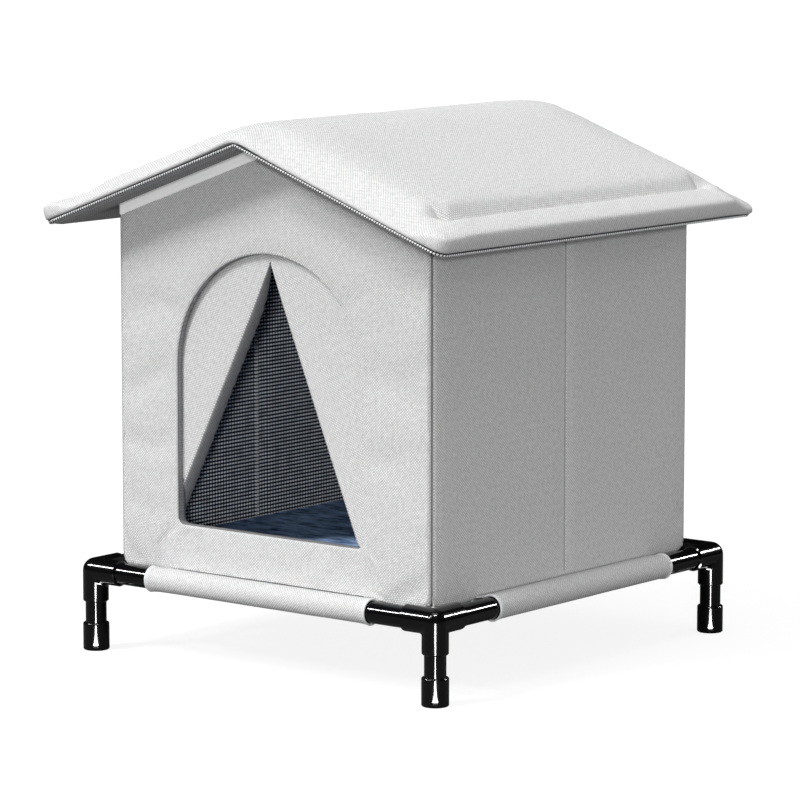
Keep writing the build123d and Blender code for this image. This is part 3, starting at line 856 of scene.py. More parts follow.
class CatHouseStage(bpy.types.Operator):
    """Lay the pale studio floor and set the soft lamps."""

    bl_idname = "cat_house.stage"
    bl_label = "Studio"

    def execute(self, context):
        look = context.scene.cat_house_stage
        bm = bmesh.new()
        bmesh.ops.create_grid(bm, x_segments=1, y_segments=1, size=60)
        mesh = bpy.data.meshes.new("studio_floor")
        bm.to_mesh(mesh)
        bm.free()
        floor = bpy.data.objects.new("studio_floor", mesh)
        context.scene.collection.objects.link(floor)
        material, tree, shader = blank("studio paper", 1.0, 0.0)
        shader.inputs["Base Color"].default_value = (0.20, 0.20, 0.20, 1)
        seen = node(tree, "ShaderNodeLightPath").outputs["Is Camera Ray"]
        shader.inputs["Emission Color"].default_value = (1, 1, 1, 1)
        lift = sums(tree, "MULTIPLY", seen, look.floor_lift)
        tree.links.new(lift, shader.inputs["Emission Strength"])
        mesh.materials.append(material)
        floor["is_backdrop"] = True
        sun("low key", -28, 36, look.key * 0.5 * pi, 9)
        sun("high key", -20, 49, look.key * 0.5 * pi, 12)
        sun("top", 20, 80, look.top * pi, 40)
        sun("fill", 38.5, 9, look.fill * pi, 3).visible_glossy = False
        shine_bar("rail shine front", -48, 34, (1.6, 0.16), look.strip)
        shine_bar("rail shine side", 150, 26, (1.6, 0.16), look.strip)
        shine_bar("crown shine", 38, 62, (1.2, 0.2), look.strip)
        for corner in ("front_left", "front_right", "rear_right"):
            floor_shine(corner, look.azimuth, look.strip * 2)
        world = bpy.data.worlds.new("studio air")
        world.use_nodes = True
        tree = world.node_tree
        air = tree.nodes["Background"]
        air.inputs["Color"].default_value = (1, 1, 1, 1)
        path = node(tree, "ShaderNodeLightPath")
        bare = sums(
            tree, "MAXIMUM", path.outputs["Is Camera Ray"], path.outputs["Is Transmission Ray"]
        )
        strength = sums(tree, "MULTIPLY_ADD", bare, 1 - look.air, look.air)
        glossy = sums(tree, "MULTIPLY", path.outputs["Is Glossy Ray"], look.air_shine)
        clear = sums(tree, "SUBTRACT", strength, glossy)
        tree.links.new(clear, air.inputs["Strength"])
        context.scene.world = world
        context.scene.view_settings.view_transform = "Standard"
        return {"FINISHED"}


class CatHouseRigid(bpy.types.Operator):
    """Give the pipes, fittings, feet and foam boards their finishes."""

    bl_idname = "cat_house.rigid"
    bl_label = "Pipes and boards"

    def execute(self, context):
        finishes = (
            (("corner_fitting", "foot"), finish("fitting plastic")),
            (("rail", "leg"), finish("pipe coat")),
            (("board",), finish("board foam")),
        )
        for name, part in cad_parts.items():
            for words, material in finishes:
                if any(word in name for word in words):
                    part.data.materials.clear()
                    part.data.materials.append(material)
        return {"FINISHED"}


class CatHouseCotSheet(bpy.types.Operator):
    """Lay the cot's cloth, with a hemmed sleeve round each rail."""

    bl_idname = "cat_house.cot_sheet"
    bl_label = "Cot sheet"

    def execute(self, context):
        cot = context.scene.cat_house_cot
        bm = cloth_mesh()
        around = PIPE_R + 0.1 * MM + cot.cloth
        wrap = PIPE_R + 14 * MM
        level = DECK - 0.2 * MM
        hug = radians(90) + radians(32)
        angles = [hug - radians(i * 12) for i in range(25)]
        profile = [(-wrap - 3 * MM, level), (-wrap, level)]
        profile += [(cos(a) * around, PIPE_Z + sin(a) * around) for a in angles]
        profile += [(-wrap, level - 1.7 * MM)]
        walked = running(map(dist, profile, profile[1:]))
        sleeves = (
            (Vector((0, PIPE_FRONT_Y, 0)), Vector((0, -1, 0)), cot.front_sleeve),
            (Vector((0, PIPE_REAR_Y, 0)), Vector((0, 1, 0)), cot.front_sleeve),
            (Vector((-PIPE_X, MID_Y, 0)), Vector((-1, 0, 0)), cot.side_sleeve),
            (Vector((PIPE_X, MID_Y, 0)), Vector((1, 0, 0)), cot.side_sleeve),
        )
        hem_rows = cloth_mesh()
        for centre, out, half in sleeves:
            along = Vector((-out.y, out.x, 0))
            lengths = spread(-half, half, 7 * MM)

            def place(run, index):
                across, z = profile[index]
                near_end = half - abs(run)
                hem = 0.35 * MM * smooth(1 - (near_end - 5 * MM) / (1.5 * MM))
                scale = 1.0
                if 2 <= index < len(profile) - 1:
                    scale = (around + hem) / around
                wave = 0.25 * MM * noise.noise(Vector((run * 22, index * 0.25, out.x * 3 + out.y)))
                z = PIPE_Z + (z - PIPE_Z) * scale
                return centre + out * (across * scale) + along * run + Vector((0, 0, z + wave))

            lay(
                bm,
                lengths,
                list(range(len(profile))),
                place,
                lambda run, index: (run, walked[index]),
            )

            def on_sleeve(turn, off, run):
                reach = around + off
                up = Vector((0, 0, PIPE_Z + sin(turn) * reach))
                return centre + out * (cos(turn) * reach) + along * run + up

            for end in (-1, 1):
                for run, size in ((end * half, 1.1 * MM), (end * (half - 2.6 * MM), 0.5 * MM)):
                    tube(hem_rows, [on_sleeve(a, 0.2 * MM, run) for a in angles], size, 6)
                run = end * (half - 5.2 * MM)
                row = [on_sleeve(a, 0.3 * MM, run) for a in angles]
                stitches(hem_rows, row, 2.2 * MM, 1.0 * MM, 0.7 * MM)
            row = [on_sleeve(radians(118), 0.35 * MM, half * t) for t in (-0.97, 0.97)]
            stitches(hem_rows, row, 2.4 * MM, 1.2 * MM, 0.7 * MM)
        inner_x = PIPE_X - wrap - 3 * MM
        front, rear = PIPE_FRONT_Y + wrap + 3 * MM, PIPE_REAR_Y - wrap - 3 * MM
        lay(
            bm,
            spread(-inner_x, inner_x, 16 * MM),
            spread(front, rear, 16 * MM),
            lambda x, y: Vector((x, y, level)),
        )
        piece = piece_from(
            bm, "cot_cloth", finish("outer cloth"), ("cot_sheet",), "cot"
        )
        thicken(piece, cot.cloth)
        sewn = piece_from(
            hem_rows, "cot_stitches", finish("white thread"), (), "cot"
        )
        return {"FINISHED"}


class CatHouseWalls(bpy.types.Operator):
    """Sew the padded wall covers and the floor's backing."""

    bl_idname = "cat_house.walls"
    bl_label = "Wall covers"

    def execute(self, context):
        wall = context.scene.cat_house_wall
        self.side_walls(wall)
        self.rear_wall(wall)
        self.front_wall(wall)
        self.floor_backing()
        self.seams()
        return {"FINISHED"}

    def seams(self):
        """Threads sunk in the corner seams and in the side walls' creases; their grey is painted shade
        in those grooves.
        """
        pale_places = [(-1, 0), (1, 0), (-1, -1), (-1, 1), (1, 1)]
        for name, places, size, material in (
            ("corner", [(1, -1)], 0.7 * MM, finish("grey thread")),
            ("crease", pale_places, 0.4 * MM, finish("pale thread")),
        ):
            bm = cloth_mesh()
            for x, y in places:
                across = (HALF_W - (SEAM_IN - 0.9 * MM if y else 0.75 * MM)) * x
                deep = FRONT_Y + SEAM_IN - 0.9 * MM if y < 0 else REAR_Y - SEAM_IN + 0.9 * MM
                deep = deep if y else MID_Y
                path = [
                    Vector((across, deep, DECK + 6 * MM + (SIDE_TOP - DECK - 6 * MM) * i / 12))
                    for i in range(13)
                ]
                tube(bm, path, size, 6)
            piece_from(bm, f"{name}_seams", material, (), "house")

    def side_walls(self, wall):
        low, high = FRONT_Y + SEAM_IN, REAR_Y - SEAM_IN
        top = gable_top(HALF_W)
        columns = spread(low, high, wall.step, extra=(MID_Y - 2.4 * MM, MID_Y, MID_Y + 2.4 * MM))
        rows = spread(DECK, top, wall.step, end=(0, 2 * MM))
        for name, side in (("left", -1), ("right", 1)):

            def place(y, z):
                far = high - y < y - low
                p, q, depth = rounded(high - y if far else y - low, z - DECK, WALL_CORNER)
                y = high - p if far else low + p
                crease = wall.crease * max(0.0, 1 - abs(y - MID_Y) / (2.4 * MM))
                return Vector((side * (HALF_W - edge_drop(depth) - crease), y, DECK + q))

            bm = cloth_mesh()
            lay(bm, columns, rows, place)
            flipped_to(bm, bm.faces[:], Vector((side, 0, 0)))
            piece = self.cover(bm, name)
            puff(
                piece,
                lambda co: 1.0
                if co.y < low + SEAM_WIDTH or co.y > high - SEAM_WIDTH
                or abs(co.y - MID_Y) < 2.6 * MM or co.z < DECK + SEAM_WIDTH or co.z > top - 3 * MM
                else 0.0,
                wall.pressure,
                wall.bulge,
            )
            thicken(piece, wall.cloth)

    def rear_wall(self, wall):
        half = HALF_W - SEAM_IN
        columns = spread(-half, half, wall.step)
        foot = (0, 0.001, 0.003, 0.006, 0.009, 0.0135)
        rows = spread(0, 1, wall.step / 0.4, start=foot, end=(0, 0.004))

        def place(x, t):
            z = DECK + t * (gable_top(x) - DECK)
            p, q, depth = rounded(half - abs(x), z - DECK, WALL_CORNER)
            x = (half - p) * (1 if x > 0 else -1)
            return Vector((x, REAR_Y - edge_drop(depth), DECK + q))

        bm = cloth_mesh()
        lay(bm, columns, rows, place, lambda x, t: (x, DECK + t * (gable_top(x) - DECK)))
        flipped_to(bm, bm.faces[:], Vector((0, 1, 0)))
        piece = self.cover(bm, "rear")
        puff(
            piece,
            lambda co: 1.0
            if abs(co.x) > half - SEAM_WIDTH or co.z < DECK + SEAM_WIDTH
            or co.z > gable_top(co.x) - TAPE_HOLD
            else 0.0,
            wall.pressure,
            wall.bulge,
        )
        thicken(piece, wall.cloth)

    def front_wall(self, wall):
        half = HALF_W - SEAM_IN
        inner = door_ring(DOOR_HALF, DOOR_SILL_Z, DOOR_STATIONS)
        outer = wall_ring(half, DECK, FRONT_CORNER, DOOR_STATIONS)
        radius = wall.door_edge

        def face_point(near, far, share):
            x, z = near[0] + (far[0] - near[0]) * share, near[1] + (far[1] - near[1]) * share
            p, q = half - abs(x), z - DECK
            depth = min(p, q)
            if p < FRONT_CORNER and q < FRONT_CORNER:
                depth = FRONT_CORNER - hypot(FRONT_CORNER - p, FRONT_CORNER - q)
            return Vector((x, FRONT_Y + edge_drop(max(0.0, depth)), z))

        rings = []
        for depth in (11.6 * MM, 8 * MM, 5 * MM):
            rings.append([Vector((x, FRONT_Y + depth, z)) for x, z in inner])
        for angle in (0, 25, 50, 72):
            a = radians(angle)
            ring = []
            for (x, z), (fx, fz) in zip(inner, outer):
                away = Vector((fx - x, fz - z)).normalized() * radius * (1 - cos(a))
                ring.append(Vector((x + away.x, FRONT_Y + radius * (1 - sin(a)), z + away.y)))
            rings.append(ring)
        spans = [hypot(fx - x, fz - z) for (x, z), (fx, fz) in zip(inner, outer)]
        count = 15
        for i in range(count + 1):
            share = i / count
            ring = []
            for near, far, span in zip(inner, outer, spans):
                first, last = radius / span, 1 - EDGE_STEPS[-1] / span
                ring.append(face_point(near, far, first + (last - first) * share))
            rings.append(ring)
        for step in reversed(EDGE_STEPS[:-1]):
            edges = zip(inner, outer, spans)
            rings.append([face_point(near, far, 1 - step / span) for near, far, span in edges])
        bm = cloth_mesh()
        loft_rings(bm, rings)
        front = [face for face in bm.faces if face.calc_center_median().y < FRONT_Y + 1 * MM]
        bmesh.ops.recalc_face_normals(bm, faces=bm.faces)
        if sum(face.normal.y for face in front) > 0:
            bmesh.ops.reverse_faces(bm, faces=bm.faces[:])
        # Painted shade: the reveal's faces take a darker cloth, and a thin band at the wall's rounded
        # edge takes a dark grey as a painted shadow line.
        for face in bm.faces:
            middle = face.calc_center_median()
            x, z = middle.x - DOOR_X, max(0.0, middle.z - DOOR_SPRING_Z)
            if hypot(x, z) < DOOR_HALF + radius and middle.y > FRONT_Y + radius / 2:
                face.material_index = 1 if middle.y > FRONT_Y + radius else 2
        piece = self.cover(bm, "front")
        piece.data.materials.append(finish("shaded cloth"))
        piece.data.materials.append(finish("grey thread"))

        def held(co):
            if co.y > FRONT_Y + 0.5 * MM or co.z > gable_top(co.x) - TAPE_HOLD:
                return 1.0
            x, z = co.x - DOOR_X, max(0.0, co.z - DOOR_SPRING_Z)
            if co.z > DOOR_SILL_Z - 6 * MM and hypot(x, z) < DOOR_HALF + 6 * MM:
                return 1.0
            return 0.0

        puff(piece, held, wall.pressure, wall.bulge)
        thicken(piece, wall.cloth)

    def cover(self, bm, name):
        """Let the foot sag between the sleeves and the corners, and make the piece."""
        wall, cot = bpy.context.scene.cat_house_wall, bpy.context.scene.cat_house_cot
        for vert in bm.verts:
            if name in ("left", "right"):
                past = abs(vert.co.y - MID_Y) - cot.side_sleeve
            else:
                past = abs(vert.co.x) - cot.front_sleeve
            low = max(0.0, 1 - (vert.co.z - DECK) / (16 * MM))
            vert.co.z -= wall.sag * smooth((past + 4 * MM) / (6 * MM)) * low
        return piece_from(
            bm, f"{name}_wall_cover", finish("outer cloth"), (f"{name}_cover",),
            "house", turned=True,
        )

    def floor_backing(self):
        low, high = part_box("floor_cover")
        bm = cloth_mesh()
        lay(
            bm,
            spread(low.x, high.x, 20 * MM),
            spread(low.y, high.y, 20 * MM),
            lambda x, y: Vector((x, y, low.z)),
        )
        flipped_to(bm, bm.faces[:], Vector((0, 0, -1)))
        piece = piece_from(
            bm, "floor_backing", finish("backing cloth"), ("floor_cover",), "house"
        )
        flat_sheet(piece, high.x - low.x, high.y - low.y, high.z - low.z, ["floor_board"])


def flat_sheet(piece, width, length, thickness, rests_on, area=None, sewn=()):
    thicken(piece, thickness)
    list(sewn)
    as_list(rests_on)


class CatHouseTapes(bpy.types.Operator):
    """Sew the white tape along the sloping top of each end wall."""

    bl_idname = "cat_house.tapes"
    bl_label = "Gable tapes"

    def execute(self, context):
        for name, outward in (("front", -1), ("rear", 1)):
            low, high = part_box(f"gable_binding_{name}")
            half = high.x
            wall_y = FRONT_Y if name == "front" else REAR_Y
            bm = cloth_mesh()
            columns = spread(-half, half, 6 * MM, extra=(0.0,))
            bulges = (
                (0.0, 0.15), (0.02, 0.75), (0.07, 1.25), (0.15, 1.6), (0.3, 1.45),
                (0.5, 1.4), (0.7, 1.45), (0.85, 1.6), (0.93, 1.25), (0.98, 0.75), (1.0, 0.15),
            )

            def place(x, index):
                share, out = bulges[index]
                z = gable_top(x) - 0.2 * MM - share * TAPE_WIDTH
                return Vector((x, wall_y + outward * out * MM, z))

            lay(
                bm,
                columns,
                list(range(len(bulges))),
                place,
                lambda x, index: (x, bulges[index][0] * TAPE_WIDTH),
            )
            flipped_to(bm, bm.faces[:], Vector((0, outward, 0)))
            piece = piece_from(
                bm, f"gable_tape_{name}", finish("white tape"),
                (f"gable_binding_{name}",), "house",
            )
            thicken(piece, 0.6 * MM)
            rows = cloth_mesh()
            for share in (0.16, 0.84):
                thread_y = wall_y + outward * 1.62 * MM
                path = [
                    Vector((x, thread_y, gable_top(x) - 0.2 * MM - share * TAPE_WIDTH))
                    for x in (-half * 0.985, 0, half * 0.985)
                ]
                stitches(rows, path, 2.2 * MM, 1.1 * MM, 0.6 * MM)
            sewn = piece_from(
                rows, f"gable_stitches_{name}", finish("white thread"), (), "house"
            )
        return {"FINISHED"}


class CatHouseLiners(bpy.types.Operator):
    """Line the house with its dark backing cloth."""

    bl_idname = "cat_house.liners"
    bl_label = "Linings"

    def execute(self, context):
        for name, side in (("left", -1), ("right", 1)):
            top = gable_top(INNER_X) - 0.5 * MM
            bm = cloth_mesh()

            def place(y, z):
                crease = 0.8 * MM * max(0.0, 1 - abs(y - MID_Y) / (3 * MM))
                return Vector((side * (INNER_X + crease), y, z))

            lay(
                bm,
                spread(
                    INNER_FRONT_Y, INNER_REAR_Y, 12 * MM,
                    extra=(MID_Y - 3 * MM, MID_Y, MID_Y + 3 * MM),
                ),
                spread(FLOOR_TOP, top, 12 * MM),
                place,
                lambda y, z: (y - MID_Y, z),
            )
            rows = cloth_mesh()
            for beside in (-4.2 * MM, -1.4 * MM):
                path = [
                    Vector((side * (INNER_X - 1 * MM), MID_Y - 12 * MM + beside, z))
                    for z in (FLOOR_TOP + 4 * MM, top - 6 * MM)
                ]
                stitches(rows, path, 2.9 * MM, 0.9 * MM, 2.3 * MM)
            size = (INNER_REAR_Y - INNER_FRONT_Y, top - FLOOR_TOP)
            self.line(bm, name, (-side, 0, 0), size, f"{name}_board_front", rows=rows)
        half = INNER_X
        bm = cloth_mesh()
        lay(
            bm,
            spread(-half, half, 12 * MM, extra=(0.0,)),
            spread(0, 1, 0.04),
            lambda x, t: Vector((x, INNER_REAR_Y, FLOOR_TOP + t * (gable_top(x) - FLOOR_TOP))),
            lambda x, t: (x, FLOOR_TOP + t * (gable_top(x) - FLOOR_TOP)),
        )
        tall = RIDGE_Z - FLOOR_TOP
        area = 2 * half * (tall - half * SLOPE / 2)
        self.line(bm, "rear", (0, -1, 0), (2 * half, tall), "rear_board", area)
        bm = cloth_mesh()
        inner = door_ring(DOOR_HALF + 1 * MM, DOOR_SILL_Z - 1 * MM, DOOR_STATIONS)
        outer = wall_ring(half, FLOOR_TOP, 1 * MM, DOOR_STATIONS)
        rings = []
        for share in (0.0, 0.03, 0.25, 0.5, 0.75, 1.0):
            ring = [
                Vector((x + (fx - x) * share, INNER_FRONT_Y, z + (fz - z) * share))
                for (x, z), (fx, fz) in zip(inner, outer)
            ]
            rings.append(ring)
        loft_rings(bm, rings)
        hole = 2 * DOOR_HALF * (DOOR_SPRING_Z - DOOR_SILL_Z) + pi * DOOR_HALF**2 / 2
        area = max(area - hole, LEAST_AREA * 2 * half * tall)
        self.line(bm, "front", (0, 1, 0), (2 * half, tall), "front_board", area)
        bm = cloth_mesh()
        lay(
            bm,
            spread(-half, half, 16 * MM),
            spread(INNER_FRONT_Y, INNER_REAR_Y, 16 * MM),
            lambda x, y: Vector((x, y, FLOOR_TOP)),
        )
        size = (2 * half, INNER_REAR_Y - INNER_FRONT_Y)
        self.line(bm, "floor", (0, 0, 1), size, "floor_board", slot="floor_fabric")
        return {"FINISHED"}

    def line(self, bm, name, toward, size, board, area=None, rows=None, slot="liner_fabric"):
        """Make one lining over its board, with its stitches if it has rows of them, and give it its
        thickness.
        """
        flipped_to(bm, bm.faces[:], Vector(toward))
        piece = piece_from(
            bm, f"{name}_lining_cloth", finish("dark liner"), (f"{name}_liner",), "house"
        )
        sewn = []
        if rows:
            stitched = f"{name}_lining_stitches"
            sewn.append(piece_from(rows, stitched, finish("white thread"), (), "house"))
        flat_sheet(piece, *size, LINER_T * 0.6, [board], area, sewn)


class CatHouseCurtains(bpy.types.Operator):
    """Hang the two door curtains, each rolled at its fold with its flap turned back."""

    bl_idname = "cat_house.curtains"
    bl_label = "Curtains"

    def execute(self, context):
        curtain = context.scene.cat_house_curtain
        for name, side in (("left", -1), ("right", 1)):
            self.hang(curtain, name, side)
        return {"FINISHED"}

    def hang(self, curtain, name, side):
        half = curtain.left_foot if side < 0 else curtain.right_foot
        foot = Vector((DOOR_X + side * half, 0, FOLD_FOOT_Z))
        head = Vector((CURTAIN_APEX_X, 0, FOLD_APEX_Z))
        length = (head - foot).length
        along = (head - foot) / length
        inward = Vector((-side * along.z, 0, side * along.x))
        face_y = FRONT_Y + CURTAIN_DEPTH
        edge = DOOR_HALF - 0.3 * MM

        def inside(point):
            if side * (point.x - CURTAIN_APEX_X) < 0 or point.z < DOOR_SILL_Z + 0.3 * MM:
                return False
            x, z = point.x - DOOR_X, max(0.0, point.z - DOOR_SPRING_Z)
            return hypot(x, z) <= edge

        def span(s):
            """Where the ray from the fold at s enters and leaves the door."""
            start = foot + along * s
            tried = (i * 0.25 * MM for i in range(-60, 900))
            held = [p for p in tried if inside(start - inward * p)]
            return (held[0], held[-1]) if held else (0.0, 0.0)

        count = 90
        on_fold = [length * i / count for i in range(count + 1)]
        below = [-s * MM for s in (10, 8, 6, 4, 2)]
        above = [length + s * MM for s in (1, 2, 3, 4, 5, 6, 7)]
        spans = {s: span(s) for s in below + on_fold + above}
        stations = [s for s in spans if spans[s][1] - max(0.0, spans[s][0]) > 0.3 * MM]
        stations.sort()
        bm = cloth_mesh()

        def panel_place(s, share):
            near, far = max(0.0, spans[s][0]), spans[s][1]
            point = foot + along * s - inward * (near + (far - near) * share)
            wave = curtain.wave * sin(share * 5 + s * 9) * share * (1 - share)
            return Vector((point.x, face_y + abs(wave), point.z))

        def panel_flat(s, share):
            near, far = max(0.0, spans[s][0]), spans[s][1]
            return near + (far - near) * share, s

        lay(bm, stations, [i / 14 for i in range(15)], panel_place, panel_flat)

        def depth_at(s):
            """The fold keeps its depth and closes to a point at the apex."""
            full = curtain.fold_foot + (curtain.fold_head - curtain.fold_foot) * s / length
            rib = 1 + curtain.rib * sin(2 * pi * s / RIB_PITCH)
            return full * rib * ease((length - s) / FOLD_CLOSE) + 1.2 * MM

        # The flap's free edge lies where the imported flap's does
        cad_foot = Vector((DOOR_X + side * FOLD_HALF, 0, FOLD_FOOT_Z))
        cad_along = (head - cad_foot).normalized()
        sill_middle = Vector((DOOR_X, 0, FOLD_FOOT_Z)) - cad_foot
        corner = cad_foot + cad_along * 2 * sill_middle.dot(cad_along) - sill_middle

        def reach(s):
            """How far the folded flap goes out behind the panel from the fold at s."""
            start, out = foot + along * s, -inward
            far = 1.0
            for first, second in ((head, corner), (foot, corner)):
                line = second - first
                flat = out.x * line.z - out.z * line.x
                if abs(flat) > 1e-9:
                    gap = first - start
                    crossing = (gap.x * line.z - gap.z * line.x) / flat
                    if crossing > 0:
                        far = min(far, crossing)
            return max(0.4 * MM, far - 1 * MM) if far < 1.0 else 0.4 * MM

        fold = (
            (0.0, 0.0), (0.07, 0.02), (0.13, 0.06), (0.175, 0.12), (0.2, 0.2), (0.22, 0.35),
            (0.23, 0.5), (0.22, 0.65), (0.2, 0.8), (0.175, 0.88), (0.13, 0.94), (0.07, 0.98),
            (0.0, 1.0),
        )
        flap_rows = [i / 10 for i in range(1, 11)]

        def fold_place(s, row):
            point = foot + along * s
            depth = depth_at(s)
            if row <= len(fold) - 1:
                out = point + inward * (depth * fold[row][0])
                y = face_y + depth * fold[row][1]
            else:
                share = flap_rows[row - len(fold)]
                out = point - inward * (reach(s) * share)
                behind = max(face_y + depth, INNER_FRONT_Y + 1.5 * MM)
                y = face_y + depth
                y += (behind - y) * smooth(share * reach(s) / (6 * MM))
            beside = abs(out.x - DOOR_X) - edge
            if beside > 0:
                y = max(y, face_y + (INNER_FRONT_Y + 1 * MM - face_y) * smooth(beside / (1 * MM)))
            return Vector((out.x, y, out.z))

        def fold_flat(s, row):
            if row <= len(fold) - 1:
                return -curtain.fold_foot * fold[row][1], s
            return -curtain.fold_foot - reach(s) * flap_rows[row - len(fold)], s

        lay(bm, on_fold[:-1], list(range(len(fold) + len(flap_rows))), fold_place, fold_flat)
        # Painted shade: the fold's turned faces take a darker cloth, for the shade on the rolled edge.
        cloth = bm.loops.layers.uv["cloth"]
        for face in bm.faces:
            across = sum(loop[cloth].uv.x for loop in face.loops) / len(face.loops)
            if -curtain.fold_foot < across < -0.02 * curtain.fold_foot:
                face.material_index = 1
        bmesh.ops.remove_doubles(bm, verts=bm.verts, dist=0.02 * MM)
        piece = piece_from(
            bm,
            f"curtain_{name}",
            finish("outer cloth"),
            (f"curtain_panel_{name}", f"curtain_flap_{name}"),
        )
        piece.data.materials.append(finish("shaded cloth"))
        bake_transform(piece)
        thicken(piece, 0.8 * MM, 0)


class CatHouseMat(bpy.types.Operator):
    """Stuff the plush floor mat."""

    bl_idname = "cat_house.mat"
    bl_label = "Floor mat"

    def execute(self, context):
        low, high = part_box("floor_mat")
        deep = high.z - low.z
        turns = ((0.0, 1.0), (0.25, 0.985), (0.5, 0.93), (0.72, 0.83), (0.9, 0.68), (1.0, 0.5))
        full = 7 * MM
        inner_x, inner_y = (high.x - low.x) / 2 - full, (high.y - low.y) / 2 - full
        middle_y = (low.y + high.y) / 2

        def lines(inner):
            count = round(2 * inner / (7 * MM))
            flat = [-inner + 2 * inner * i / count for i in range(count + 1)]
            steps = [MM * (i + 1) for i in range(len(turns) - 1)]
            return [-inner - s for s in reversed(steps)] + flat + [inner + s for s in steps]

        def place(column, row, top):
            over_x, over_y = max(0.0, abs(column) - inner_x), max(0.0, abs(row) - inner_y)
            x = max(-inner_x, min(inner_x, column))
            y = max(-inner_y, min(inner_y, row))
            steps = int(round(max(over_x, over_y) / MM))
            out, height = turns[steps]
            if steps:
                angle = corner_turn(over_x, over_y)
                x += (out * full * cos(angle) if over_x else 0) * (1 if column > 0 else -1)
                y += (out * full * sin(angle) if over_y else 0) * (1 if row > 0 else -1)
            z = low.z + deep * (height if top else 1 - height) + (0 if top else 0.15 * MM)
            return Vector((x, middle_y + y, z))

        bm = cloth_mesh()
        columns, rows = lines(inner_x), lines(inner_y)
        lay(bm, columns, rows, lambda c, r: place(c, r, True))
        lay(bm, columns, rows, lambda c, r: place(c, r, False))
        bmesh.ops.remove_doubles(bm, verts=bm.verts, dist=0.05 * MM)
        piece = piece_from(
            bm, "plush_mat", finish("mat plush"), ("floor_mat",), "mat"
        )
        for vert in piece.data.vertices:
            if vert.co.z > low.z + deep * 0.9:
                tuft = noise.noise(Vector((vert.co.x * 90, vert.co.y * 160, 3)))
                vert.co.z -= 0.8 * MM * abs(tuft)
        smooth_skin = piece.modifiers.new("Pile", "SUBSURF")
        smooth_skin.levels = smooth_skin.render_levels = 1
        return {"FINISHED"}


